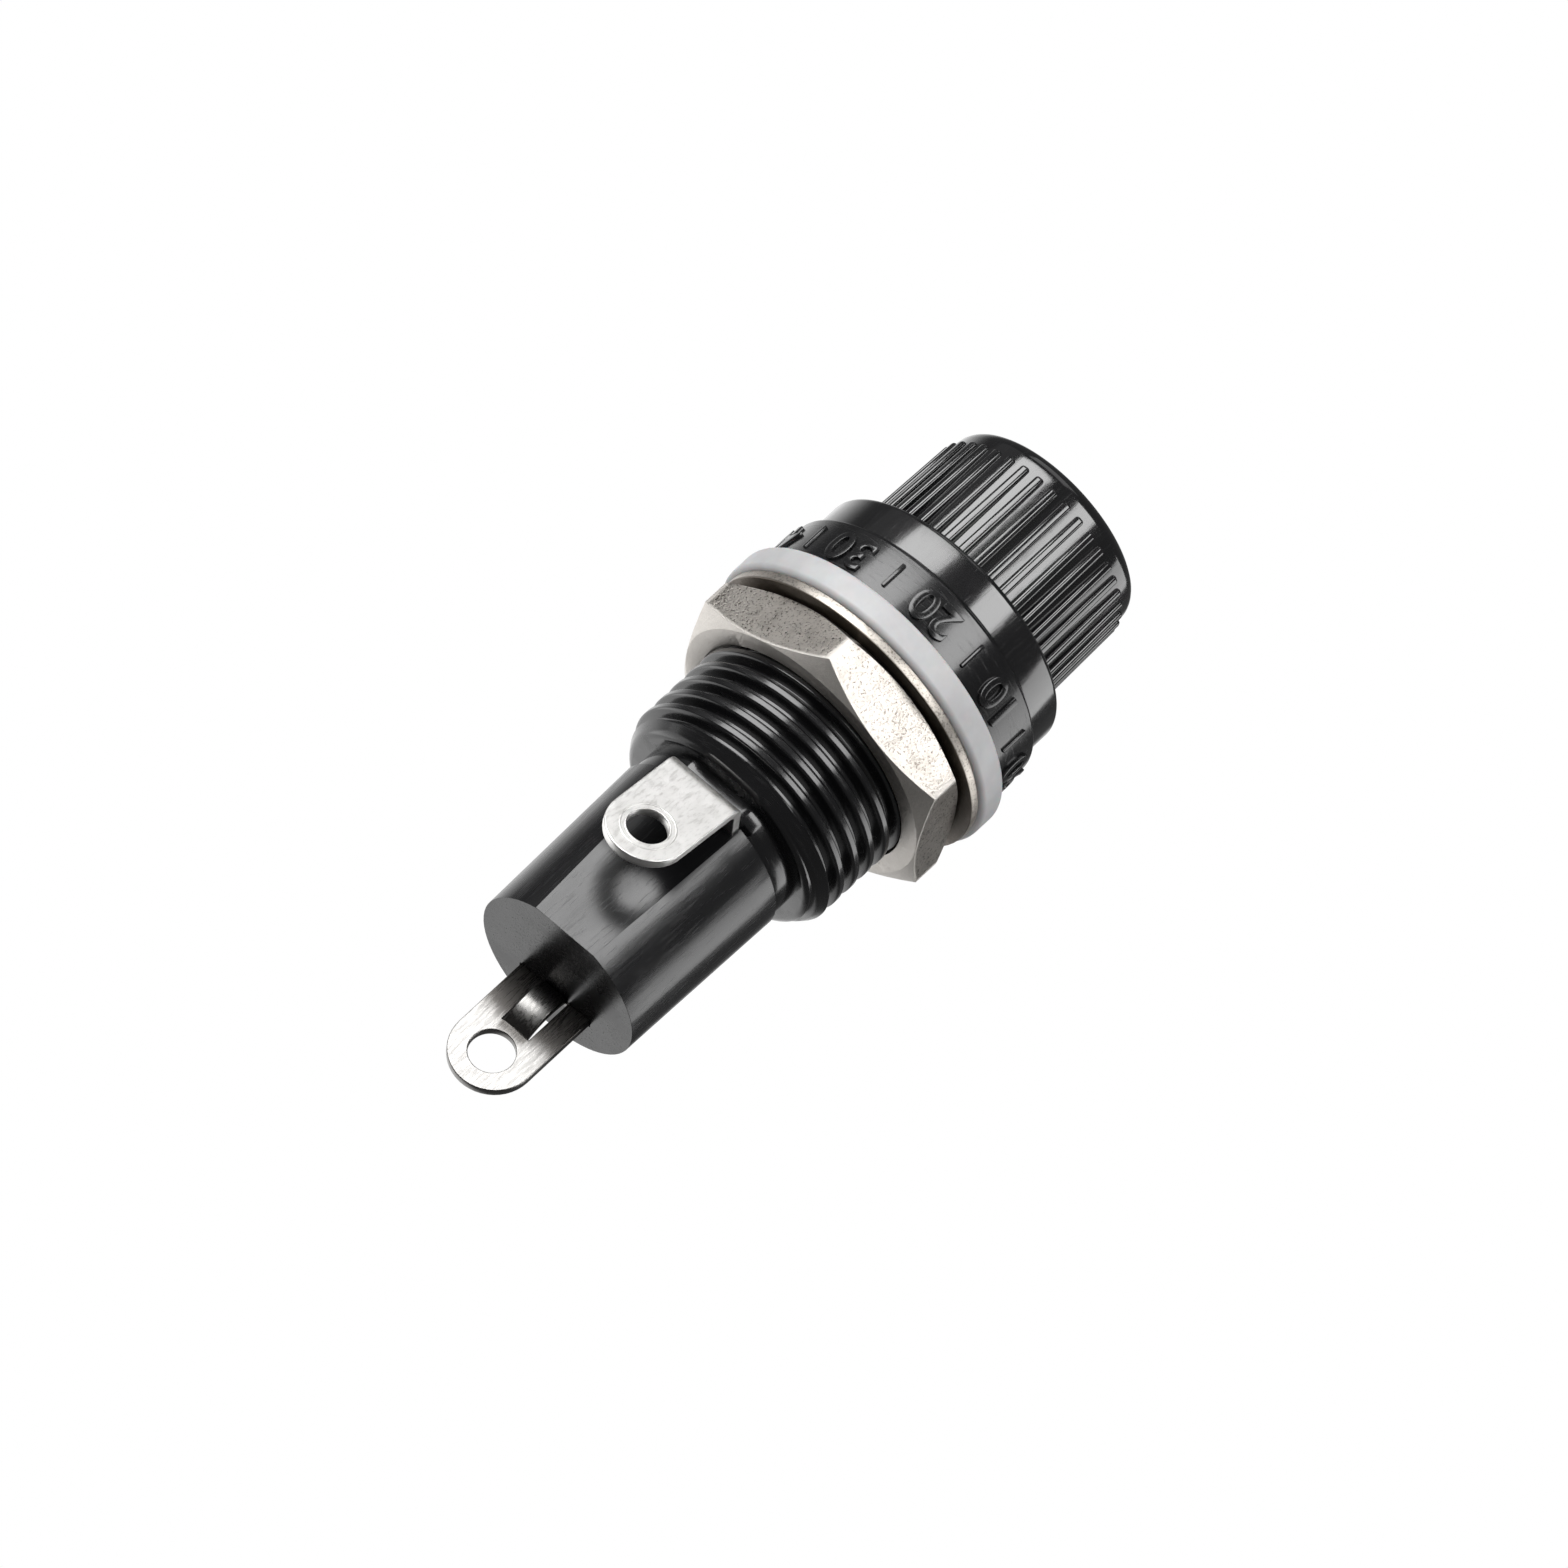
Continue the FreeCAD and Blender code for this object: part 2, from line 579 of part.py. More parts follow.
def make_cap_knob():
    """Cap: a skirt that screws into the barrel, a smooth ring and a ridged knob with a rounded rim."""
    body = new_body("cap_knob")
    inner = f"({CLIP_RADIUS} + size.clip_room)"
    pin = "(size.rivet_radius + size.running_gap)"
    revolve(
        body,
        "cap",
        [
            (inner, SKIRT_LOW),
            (SKIRT_RADIUS, SKIRT_LOW),
            (SKIRT_RADIUS, CAP_SEAT),
            (CAP_RING_RADIUS, CAP_SEAT),
            (CAP_RING_RADIUS, RING_TOP),
            (KNOB_LOW_RADIUS, RING_TOP),
            (KNOB_HIGH_RADIUS, RIDGE_TOP),
            (RIM_RADIUS, RIDGE_TOP),
            (RIM_RADIUS, KNOB_TOP),
            ("0", KNOB_TOP),
            ("0", f"{ROOF} + size.rivet_length + size.slot_gap"),
            (pin, f"{ROOF} + size.rivet_length + size.slot_gap"),
            (pin, ROOF),
            (inner, ROOF),
        ],
    )
    soften(body, "rim_rounding", [(RIM_RADIUS, KNOB_TOP)], "size.rim_edge")
    soften(
        body,
        "ring_chamfer",
        [(CAP_RING_RADIUS, CAP_SEAT), (CAP_RING_RADIUS, RING_TOP)],
        "size.cap_ring_edge",
        chamfer=True,
    )
    doc.recompute()
    groove = new_sketch(body, "groove_outline", "XY_Plane", RING_TOP)
    reach = f"(({KNOB_LOW_RADIUS} + {CAP_RING_RADIUS}) / 2)"
    floor = "size.groove_width / 2"
    mouth = f"({floor} + size.groove_flare)"
    draw_outline(
        groove,
        [
            (RIDGE_ROOT, f"-{floor}"),
            (reach, f"-{mouth}"),
            (reach, mouth),
            (RIDGE_ROOT, floor),
        ],
    )
    cut = pocket(body, "groove", groove, "size.knurl_length")
    pattern(body, "ridges", cut, "size.ridge_count")
    return body


def make_fuse_clip():
    """Sprung cup inside the cap, whose four long fingers grip the fuse and slide in the contact sleeve."""
    body = new_body("fuse_clip")
    low = f"({ROOF} - size.clip_length)"
    inner = f"({CLIP_RADIUS} - size.clip_wall)"
    pressed_in = "(size.fuse_radius + size.grip_gap)"
    pressed_out = f"({pressed_in} + size.clip_wall)"
    rib_top = f"({ROOF} - size.rib_drop)"
    rib_low = f"({rib_top} - size.rib_length)"
    hole = "(size.rivet_radius + size.fit_gap)"
    revolve(
        body,
        "cup",
        [
            (inner, low),
            (CLIP_RADIUS, low),
            (CLIP_RADIUS, rib_low),
            (pressed_out, f"{rib_low} + size.rib_slope"),
            (pressed_out, f"{rib_top} - size.rib_slope"),
            (CLIP_RADIUS, rib_top),
            (CLIP_RADIUS, ROOF),
            (hole, ROOF),
            (hole, f"{ROOF} - size.clip_wall"),
            (inner, f"{ROOF} - size.clip_wall"),
            (inner, rib_top),
            (pressed_in, f"{rib_top} - size.rib_slope"),
            (pressed_in, f"{rib_low} + size.rib_slope"),
            (inner, rib_low),
        ],
    )
    doc.recompute()
    slot = new_sketch(body, "slot_outline", "XY_Plane", low)
    half = "size.clip_slot / 2"
    draw_box(slot, f"{inner} - {PAST}", f"{CLIP_RADIUS} + {PAST}", f"-{half}", half)
    cut = pocket(body, "slot", slot, "size.clip_length - size.clip_root")
    pattern(body, "slots", cut, "size.clip_fingers")
    return body


def make_clip_rivet():
    """Rivet that holds the clip under the knob's roof, and lets the knob turn round it."""
    body = new_body("clip_rivet")
    low = f"({ROOF} - size.clip_wall)"
    revolve(
        body,
        "rivet",
        [
            ("0", f"{low} - size.rivet_head_height"),
            ("size.rivet_head", f"{low} - size.rivet_head_height"),
            ("size.rivet_head", low),
            ("size.rivet_radius", low),
            ("size.rivet_radius", f"{ROOF} + size.rivet_length"),
            ("0", f"{ROOF} + size.rivet_length"),
        ],
    )
    return body


def make_contact_sleeve():
    """Brass tube in the middle of the housing, which the clip's fingers slide in."""
    body = new_body("contact_sleeve")
    revolve(
        body,
        "tube",
        [
            (SLEEVE_INSIDE, SLEEVE_LOW),
            (SLEEVE_RADIUS, SLEEVE_LOW),
            (SLEEVE_RADIUS, SLEEVE_TOP),
            (SLEEVE_INSIDE, SLEEVE_TOP),
        ],
    )
    return body


def make_side_terminal():
    """Ring trapped in the seam, with a strip that comes out over the flat and bends back along the tail."""
    body = new_body("side_terminal")
    ring = new_sketch(body, "ring_outline", "XY_Plane", STRIP_LOW)
    draw_circle(ring, SIDE_RING_RADIUS)
    draw_circle(ring, SLEEVE_BORE)
    pad(body, "ring", ring, "size.side_strip")
    strip = new_sketch(body, "strip_outline", "XZ_Plane")
    outer = "(size.side_bend + size.side_strip)"
    turn_sin = "cos(size.side_tilt * 1 deg)"
    turn_cos = "sin(size.side_tilt * 1 deg)"
    centre_z = f"({STRIP_LOW} - size.side_bend)"
    out_x = f"(size.side_reach + {outer} * {turn_sin})"
    out_z = f"({centre_z} + {outer} * {turn_cos})"
    in_x = f"(size.side_reach + size.side_bend * {turn_sin})"
    in_z = f"({centre_z} + size.side_bend * {turn_cos})"
    run_x = f"size.side_lug_length * {turn_cos}"
    run_z = f"size.side_lug_length * {turn_sin}"
    start = f"({SLEEVE_BORE} + size.sleeve_wall)"
    draw_outline(
        strip,
        [
            (start, SEAM),
            (start, STRIP_LOW),
            ("size.side_reach", STRIP_LOW),
            (in_x, in_z),
            (f"{in_x} + {run_x}", f"{in_z} - {run_z}"),
            (f"{out_x} + {run_x}", f"{out_z} - {run_z}"),
            (out_x, out_z),
            ("size.side_reach", SEAM),
        ],
        arcs={2: ("size.side_bend", -1), 6: (outer, 1)},
    )
    pad(body, "strip", strip, "size.side_width", both_sides=True)
    for name in ("eye", "hole"):
        sketch = new_sketch(body, name + "_outline", "YZ_Plane")
        sketch.AttachmentOffset = FreeCAD.Placement(
            FreeCAD.Vector(0, 0, 0), FreeCAD.Rotation(FreeCAD.Vector(-1, 0, 0), value("size.side_tilt"))
        )
        sketch.setExpression("AttachmentOffset.Base.y", f"{out_z} - {run_z}")
        sketch.setExpression("AttachmentOffset.Base.z", f"{out_x} + {run_x}")
        sketch.setExpression("AttachmentOffset.Rotation.Angle", "size.side_tilt")
        if name == "eye":
            draw_circle(sketch, "size.side_width / 2")
            pad(body, "eye", sketch, "size.side_strip", reverse=True)
            doc.recompute()
        else:
            draw_circle(sketch, "size.side_hole")
            pocket(body, "hole", sketch, "2 * size.side_strip", both_sides=True)
    return body


def make_end_terminal():
    """Strip with a foot on the floor of the tail, which comes out of the end face and has a sprung tongue."""
    body = new_body("end_terminal")
    half = "size.end_width / 2"
    blade = new_sketch(body, "blade_outline", "YZ_Plane", "-(size.end_offset + size.end_strip)")
    centre = f"-(size.end_reach - {half})"
    draw_box(blade, f"-{half}", half, centre, FOOT_TOP)
    pad(body, "blade", blade, "size.end_strip")
    tip = new_sketch(body, "tip_outline", "YZ_Plane", "-(size.end_offset + size.end_strip)")
    draw_circle(tip, half, "0", centre)
    pad(body, "tip", tip, "size.end_strip")
    foot = new_sketch(body, "foot_outline", "XY_Plane", "size.floor_thickness")
    draw_box(foot, "-(size.end_offset + size.end_strip)", "size.end_foot", f"-{half}", half)
    pad(body, "foot", foot, "size.end_strip")
    doc.recompute()
    hole = new_sketch(body, "hole_outline", "YZ_Plane", "-size.end_offset")
    draw_circle(hole, "size.end_hole", "0", "-size.end_hole_height")
    pocket(body, "hole", hole, "2 * size.end_strip", both_sides=True)
    window = new_sketch(body, "window_outline", "YZ_Plane", "-size.end_offset")
    wide = "(size.tongue_width / 2 + size.tongue_slit)"
    root = "-(size.tongue_gap + size.tongue_length)"
    draw_box(window, f"-{wide}", wide, root, "-size.tongue_gap")
    pocket(body, "window", window, "2 * size.end_strip", both_sides=True)
    tongue = new_sketch(body, "tongue_outline", "XZ_Plane")
    chord = "sqrt(size.tongue_length * size.tongue_length + size.tongue_rise * size.tongue_rise)"
    bend = f"({chord} * {chord} / 8 / size.tongue_bow + size.tongue_bow / 2)"
    back = "-(size.end_offset + size.end_strip)"
    draw_outline(
        tongue,
        [
            (back, root),
            ("-size.end_offset", root),
            ("-size.end_offset + size.tongue_rise", "-size.tongue_gap"),
            (f"{back} + size.tongue_rise", "-size.tongue_gap"),
        ],
        arcs={1: (bend, 1), 3: (bend, -1)},
    )
    pad(body, "tongue", tongue, "size.tongue_width", both_sides=True)
    return body


def make_tail_contact():
    """Plunger that the spring pushes up against the fuse."""
    body = new_body("tail_contact")
    nose = f"({FLANGE_TOP} + size.plunger_length)"
    revolve(
        body,
        "plunger",
        [
            ("0", SPRING_TOP),
            (FLANGE_RADIUS, SPRING_TOP),
            (FLANGE_RADIUS, FLANGE_TOP),
            (PLUNGER_RADIUS, FLANGE_TOP),
            (PLUNGER_RADIUS, nose),
            ("0", nose),
        ],
    )
    soften(body, "nose_chamfer", [(PLUNGER_RADIUS, nose)], "size.plunger_edge", chamfer=True)
    return body


def make_contact_spring():
    """Coil spring between the end terminal's foot and the plunger."""
    body = new_body("contact_spring")
    wire = new_sketch(body, "wire_outline", "XZ_Plane")
    spots = []
    for k in range(WIRE_SIDES):
        turn = f"({(k + 0.5) * 360 / WIRE_SIDES} * 1 deg)"
        across = f"{SPRING_RADIUS} + size.wire_radius * cos({turn})"
        up = f"{FOOT_TOP} + size.wire_radius + size.wire_radius * sin({turn})"
        spots.append((across, up))
    draw_outline(wire, spots)
    coil = body.newObject("PartDesign::AdditiveHelix", "coil")
    coil.Profile = wire
    coil.ReferenceAxis = (wire, ["V_Axis"])
    coil.Mode = "height-turns-angle"
    coil.setExpression("Height", "size.spring_height - 2 * size.wire_radius")
    coil.setExpression("Turns", "size.spring_turns")
    coil.Angle = 0
    return body


makers = [
    make_threaded_body,
    make_rear_shell,
    make_gasket,
    make_flat_washer,
    make_hex_nut,
    make_cap_knob,
    make_fuse_clip,
    make_clip_rivet,
    make_contact_sleeve,
    make_side_terminal,
    make_end_terminal,
    make_tail_contact,
    make_contact_spring,
]
bodies = [make() for make in makers]
doc.recompute()

for item in doc.Objects:
    if "Invalid" in item.State or "Error" in item.State:
        raise RuntimeError(f"{item.Name} failed: {item.State}")

os.makedirs("parts", exist_ok=True)
for body in bodies:
    shape = body.Shape
    if shape.isNull() or not shape.isValid() or not shape.Solids:
        raise RuntimeError(f"{body.Label} has no valid solid")
    shape.exportStep(f"parts/{body.Label}.step")
    box = shape.BoundBox
    heights = f"z {box.ZMin:.2f} to {box.ZMax:.2f}"
    print(f"{body.Label}: {shape.Volume:.2f} mm3, {heights}, {len(shape.Faces)} faces")
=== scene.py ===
import math

import bmesh
import bpy
from mathutils import Matrix, Vector


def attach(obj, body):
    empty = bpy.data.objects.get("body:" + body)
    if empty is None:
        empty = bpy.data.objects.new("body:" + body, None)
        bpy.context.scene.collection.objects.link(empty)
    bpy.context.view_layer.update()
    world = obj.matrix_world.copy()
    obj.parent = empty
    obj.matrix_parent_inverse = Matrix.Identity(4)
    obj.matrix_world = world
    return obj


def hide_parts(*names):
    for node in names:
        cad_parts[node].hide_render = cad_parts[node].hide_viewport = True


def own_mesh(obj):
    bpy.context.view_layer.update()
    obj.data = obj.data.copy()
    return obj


# Panel mount fuse holder. Sizes below are in millimetres, in the CAD model's own frame:
# Z along the barrel, out through the cap, height 0 where the gasket meets the panel.
MM = 0.001
AROUND = 180  # segments round the axis, so that every corner of the nut falls on one
CREASE = 40  # edges sharper than this many degrees stay sharp on most pieces
WELD = 2e-6  # points nearer than this are one, in metres
NODE_WELD = 1e-6  # the same for the CAD solids
FINE_WELD = 1e-7  # and for numbers and beads

# Neck, collar and bore of the barrel
SEAM = -10.1
NECK_TOP = -8.9
NECK_RADIUS = 4.5
NECK_EDGE = 0.06
FLAT = 4.15  # the flat's distance from the axis
NOTCH_HALF = 2.5
NOTCH_TOP = -9.75
NOTCH_STEP = 0.004  # angle in radians over which the notch's side rises
COLLAR_LOW = 1.5
COLLAR_TOP = 4.25
COLLAR_RADIUS = 7.35
COLLAR_EDGE = 0.2
SKIRT_BORE = 4.55
SKIRT_SEAT = -3.08
MOUTH_EDGE = 0.12
SLEEVE_BORE = 3.53
SLEEVE_EDGE = 0.1

# Thread of the barrel, with its lead-in cone
PITCH = 1.0
THREAD_RADIUS = 6.0
THREAD_DEPTH = 0.55
THREAD_ROOT = 0.075  # half of the groove's flat bottom, in turns
THREAD_FLANK = 0.3
GROOVE_START = -9.9
LEADIN_RADIUS = 5.35
LEADIN_SLOPE = 0.65 / 0.9
LEADIN_EDGE = 0.22
NO_LEADIN = 99.0  # a cone so wide that it cuts nothing

# Raised numbers and bars round the collar
MARKS = 9
MARK_STEP = 360 / MARKS
FIRST_NUMBER = 54
FIRST_TICK = FIRST_NUMBER - MARK_STEP / 2
NUMBER_SIZE = 2.35
NUMBER_RISE = 0.13
NUMBER_EDGE = 0.035
NUMBER_WEIGHT = 0.02
TICK_SIZE = (0.24, 0.2, 1.5)
TICK_EDGE = 0.04

# Gasket, nut and washer
GASKET_INSIDE = 6.1
GASKET_RADIUS = 8.0
GASKET_EDGE = 0.3
WASHER_SHADE_LINE = -0.44  # painted shade: the washer is darker under this height
NUT_LOW = -3.3
NUT_TOP = -0.5
NUT_FLAT = 7.0
NUT_TURN = 2.0  # degrees from the X axis to a corner
NUT_MINOR = 5.62
NUT_MAJOR = 6.1
NUT_SINK = 0.45
NUT_ROOT = 0.06
NUT_FLANK = 0.26
NUT_LOW_INSET = 0.02
NUT_TOP_INSET = 0.25
NUT_EDGE = 0.13
CHAMFER_SLOPE = math.tan(math.radians(30))

# Cap: skirt, smooth ring and ridged knob
CAP_LOW = 4.27
SKIRT_LOW = -2.48
SKIRT_RADIUS = 4.5
SKIRT_INSIDE = 3.5
SKIRT_EDGE = 0.2
SKIRT_INNER_EDGE = 0.1
RING_RADIUS = 6.95
RING_TOP = 6.32
RING_LOW_EDGE = 0.22
RING_TOP_EDGE = 0.3
ROOF = 11.32
KNOB_TOP = 13.32
RIM_RADIUS = 5.4
RIM_EDGE = 0.75
RIDGES = 40
RIDGE_ROOT = 5.45
RIDGE_ROOT_EDGE = 0.06
RIDGE_TOP = 12.12
KNOB_LOW = 5.78  # the ridges' outer radius at the smooth ring
KNOB_HIGH = 5.62
GROOVE_WIDTH = 0.4
RIDGE_TRIM = 0.03
RIDGE_DRAFT = 0.04
RIDGE_SINK = 0.12
RIDGE_TUCK = 0.1
RIDGE_EDGE = 0.15
RIDGE_LEAN = 0.07  # the most that a ridge is turned out of line, in radians

# Spring under the plunger
SPRING_LOW = -17.65
SPRING_HIGH = -13.9
SPRING_RADIUS = 2.2
SPRING_TURNS = 4.0
WIRE_RADIUS = 0.2

# Side lug's hole, and the beads coined round it as (middle radius, half width, height)
LUG_HOLE = (7.20, 0.0, -14.30)
LUG_NORMAL = (0.970, 0.0, 0.242)
LUG_BEADS = ((1.3, 0.055, 0.03), (1.05, 0.05, 0.02))
BEAD_SINK = 0.02
BEAD_SLANT = 0.015
BEAD_EDGE = 0.03

# Edge rounding of the pieces that keep their CAD shape
TAIL_EDGE = 0.06
TAIL_ANGLE = 18  # the tail's edges sharper than this many degrees are rounded
WASHER_EDGE = 0.06
SIDE_LUG_EDGE = 0.06
END_LUG_EDGE = 0.05
BRASS_EDGE = 0.03
PLUNGER_EDGE = 0.05
RIVET_EDGE = 0.08

# Camera, its distance and frame width in metres
TARGET = Vector((-0.2165, 0.6864, -4.9)) * MM
CAMERA_RIGHT = (0.0780, 0.7369, 0.6712)
CAMERA_UP = (0.4820, -0.6172, 0.6216)
CAMERA_BACK = (0.8726, 0.2750, -0.4035)
CAMERA_AWAY = 2.0
FRAME_WIDTH = 0.0703
SENSOR = 36  # width in millimetres

# Studio, in metres. The backdrop is behind the part, and reflections see it fade out sideways.
FLOOR_HALF = 6.0
FLOOR_LEVEL = -1.2
BACKDROP = (-0.790, -0.606, -0.087)
BACKDROP_FADE = (0.6, 0.92)
BACKDROP_LIGHT = (0.09, 1.2)
WORLD_LIGHT = 0.25
PANEL_AWAY = 0.3

# Soft panels: name, azimuth and elevation in degrees, width, height, radiance
PANELS = (
    ("broad_left", -29.5, 13, 0.195, 0.22, 6.0),
    ("broad_right", 36.5, 20, 0.12, 0.2, 5.6),
    ("broad_back", 114.5, 20, 0.172, 0.2, 2.4),
    ("faint_left", -68, 22, 0.12, 0.2, 0.1),
    ("low_left", -105, -35, 0.2, 0.16, 1.0),
    ("top", -25.4, 58, 0.2, 0.12, 0.7),
)

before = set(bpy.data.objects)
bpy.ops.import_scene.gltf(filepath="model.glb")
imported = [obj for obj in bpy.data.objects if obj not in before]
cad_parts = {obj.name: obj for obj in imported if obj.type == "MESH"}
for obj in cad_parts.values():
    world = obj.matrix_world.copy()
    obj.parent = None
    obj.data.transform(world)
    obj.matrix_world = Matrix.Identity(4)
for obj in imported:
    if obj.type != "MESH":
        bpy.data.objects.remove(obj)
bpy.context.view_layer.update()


def new_object(name, mesh):
    """An object at the origin that holds this mesh."""
    obj = bpy.data.objects.new(name, mesh)
    bpy.context.scene.collection.objects.link(obj)
    return obj


def smooth(mesh, degrees=32):
    """Shades a mesh smooth, apart from edges sharper than this."""
    mesh.shade_smooth()
    mesh.set_sharp_from_angle(angle=math.radians(degrees))


def rounded(corners, steps=6):
    """A profile of (radius, height) points from corners of (radius, height, rounding)."""
    count = len(corners)
    points = []
    for i, (r, z, edge) in enumerate(corners):
        here = Vector((r, z))
        if not edge:
            points.append((r, z))
            continue
        back = (Vector(corners[i - 1][:2]) - here).normalized()
        ahead = (Vector(corners[(i + 1) % count][:2]) - here).normalized()
        half = back.angle(ahead) / 2
        reach = edge / math.tan(half)
        centre = here + (back + ahead).normalized() * (edge / math.sin(half))
        first = here + back * reach - centre
        last = here + ahead * reach - centre
        sweep = first.angle_signed(last)
        for k in range(steps + 1):
            spot = centre + Matrix.Rotation(-sweep * k / steps, 2) @ first
            points.append((spot.x, spot.y))
    return points


def around_angles(exact=()):
    """Angles round the axis in radians, with some of them moved to exact places."""
    angles = [2 * math.pi * k / AROUND for k in range(AROUND)]
    free = set(range(AROUND))
    for wanted in exact:
        wanted %= 2 * math.pi
        nearest = min(free, key=lambda k: abs(angles[k] - wanted))
        angles[nearest] = wanted
        free.remove(nearest)
    return sorted(angles)


def rings_mesh(bm, rings, closed=True):
    """Joins rings of points with quads. A ring of one point is a pole."""
    made = [[bm.verts.new(Vector(p) * MM) for p in ring] for ring in rings]
    pairs = list(zip(made, made[1:] + made[:1])) if closed else list(zip(made, made[1:]))
    for a, b in pairs:
        count = max(len(a), len(b))
        for k in range(count):
            n = (k + 1) % count
            loop = [a[k % len(a)], a[n % len(a)], b[n % len(b)], b[k % len(b)]]
            face = list(dict.fromkeys(loop))
            if len(face) > 2:
                bm.faces.new(face)


def turned_rings(profile, angles=None, flat=None):
    """Rings of a turned shape, with a flat cut at x = flat where its radius passes it."""
    rings = []
    for r, z in profile:
        if r < 1e-6:
            rings.append([(0, 0, z)])
            continue
        ring = []
        for a in angles or around_angles():
            x, y = r * math.cos(a), r * math.sin(a)
            ring.append((min(x, flat) if flat else x, y, z))
        rings.append(ring)
    return rings


def finish_mesh(name, bm, degrees=32, weld=WELD):
    """Welds, turns the faces outwards and gives the object."""
    bmesh.ops.remove_doubles(bm, verts=bm.verts, dist=weld)
    bmesh.ops.recalc_face_normals(bm, faces=bm.faces)
    mesh = bpy.data.meshes.new(name)
    bm.to_mesh(mesh)
    bm.free()
    smooth(mesh, degrees)
    return new_object(name, mesh)


def turned(name, corners, degrees=32):
    """A turned piece from the corners of its profile."""
    bm = bmesh.new()
    rings_mesh(bm, turned_rings(rounded(corners)))
    return even_shading(finish_mesh(name, bm, degrees))


def applied(obj):
    """The object's evaluated mesh as its plain mesh, with no modifier left."""
    bpy.context.view_layer.update()
    graph = bpy.context.evaluated_depsgraph_get()
    mesh = bpy.data.meshes.new_from_object(obj.evaluated_get(graph))
    obj.modifiers.clear()
    obj.data = mesh
    return obj


def even_shading(obj):
    """Keeps flat faces looking flat beside their rounded edges."""
    obj.modifiers.new("shading", "WEIGHTED_NORMAL").keep_sharp = True
    return applied(obj)


def bevelled(obj, width, degrees=30, steps=3):
    """Rounds the edges of an object that are sharper than this."""
    bevel = obj.modifiers.new("edge", "BEVEL")
    bevel.width = width * MM
    bevel.segments = steps
    bevel.limit_method = "ANGLE"
    bevel.angle_limit = math.radians(degrees)
    bevel.use_clamp_overlap = True
    bevel.harden_normals = False
    applied(obj)
    smooth(obj.data, CREASE)
    return even_shading(obj)


def cad_copy(node, name, edge, degrees=30):
    """A piece with the CAD node's shape, its seams welded and its edges rounded."""
    bm = bmesh.new()
    bm.from_mesh(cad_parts[node].data)
    bmesh.ops.remove_doubles(bm, verts=bm.verts, dist=NODE_WELD)
    bmesh.ops.dissolve_limit(bm, angle_limit=math.radians(0.3), verts=bm.verts, edges=bm.edges)
    obj = finish_mesh(name, bm)
    return bevelled(obj, edge, degrees)


def dress(obj, body, material, *nodes):
    """Gives a finished piece its material and body, and hides the CAD nodes that it stands for."""
    obj.data.materials.clear()
    obj.data.materials.append(material)
    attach(obj, body)
    if nodes:
        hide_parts(*nodes)
    return obj


class Tree:
    """A short way to write a node tree."""

    def __init__(self, tree):
        self.tree = tree

    def node(self, kind, inputs=None, **settings):
        """A new node, with its settings, and its inputs given as values or sockets."""
        node = self.tree.nodes.new(kind)
        for key, setting in settings.items():
            setattr(node, key, setting)
        for key, source in (inputs or {}).items():
            self.put(node.inputs[key], source)
        return node

    def put(self, socket, source):
        """Links a socket to another one, or sets its value."""
        if isinstance(source, bpy.types.NodeSocket):
            self.tree.links.new(source, socket)
        else:
            socket.default_value = source

    def math(self, operation, *inputs):
        """The result of a math operation on values or sockets."""
        node = self.node("ShaderNodeMath", operation=operation)
        for socket, source in zip(node.inputs, inputs):
            self.put(socket, source)
        return node.outputs[0]

    def ramp(self, source, low, high, out_low=0.0, out_high=1.0):
        """A smooth change from out_low to out_high while the source goes from low to high."""
        node = self.node("ShaderNodeMapRange", interpolation_type="SMOOTHSTEP")
        for socket, value in zip(node.inputs, (source, low, high, out_low, out_high)):
            self.put(socket, value)
        return node.outputs[0]

    def fade(self, source, low, high, out_low=0.0, out_high=1.0):
        """A ramp whose ends are places in millimetres."""
        return self.ramp(source, low * MM, high * MM, out_low, out_high)

    def place(self):
        """X, Y and Z on the object, in metres."""
        spot = self.node("ShaderNodeTexCoord").outputs["Object"]
        return self.node("ShaderNodeSeparateXYZ", {0: spot}).outputs

    def finish_pieces(self, geometry, material):
        """Ends a geometry tree with real pieces that carry the material."""
        real = self.node("GeometryNodeRealizeInstances", {0: geometry})
        painted = self.node("GeometryNodeSetMaterial", {"Geometry": real.outputs[0], "Material": material})
        self.node("NodeGroupOutput", {0: painted.outputs[0]})
        return self.tree


def geometry_tree(name, inputs):
    """A Geometry Nodes tree with named inputs, given as name: (kind, value)."""
    group = bpy.data.node_groups.new(name, "GeometryNodeTree")
    for label, (kind, value) in inputs.items():
        socket = group.interface.new_socket(label, in_out="INPUT", socket_type="NodeSocket" + kind)
        if value is not None:
            socket.default_value = value
    group.interface.new_socket("Geometry", in_out="OUTPUT", socket_type="NodeSocketGeometry")
    tree = Tree(group)
    given = tree.node("NodeGroupInput")
    return tree, given.outputs


def grown(name, tree, values):
    """An object that a tree makes, turned into a plain mesh."""
    obj = new_object(name, bpy.data.meshes.new(name))
    modifier = obj.modifiers.new("tree", "NODES")
    modifier.node_group = tree
    for item in tree.interface.items_tree:
        if item.item_type == "SOCKET" and item.in_out == "INPUT" and item.name in values:
            modifier[item.identifier] = values[item.name]
    return applied(obj)


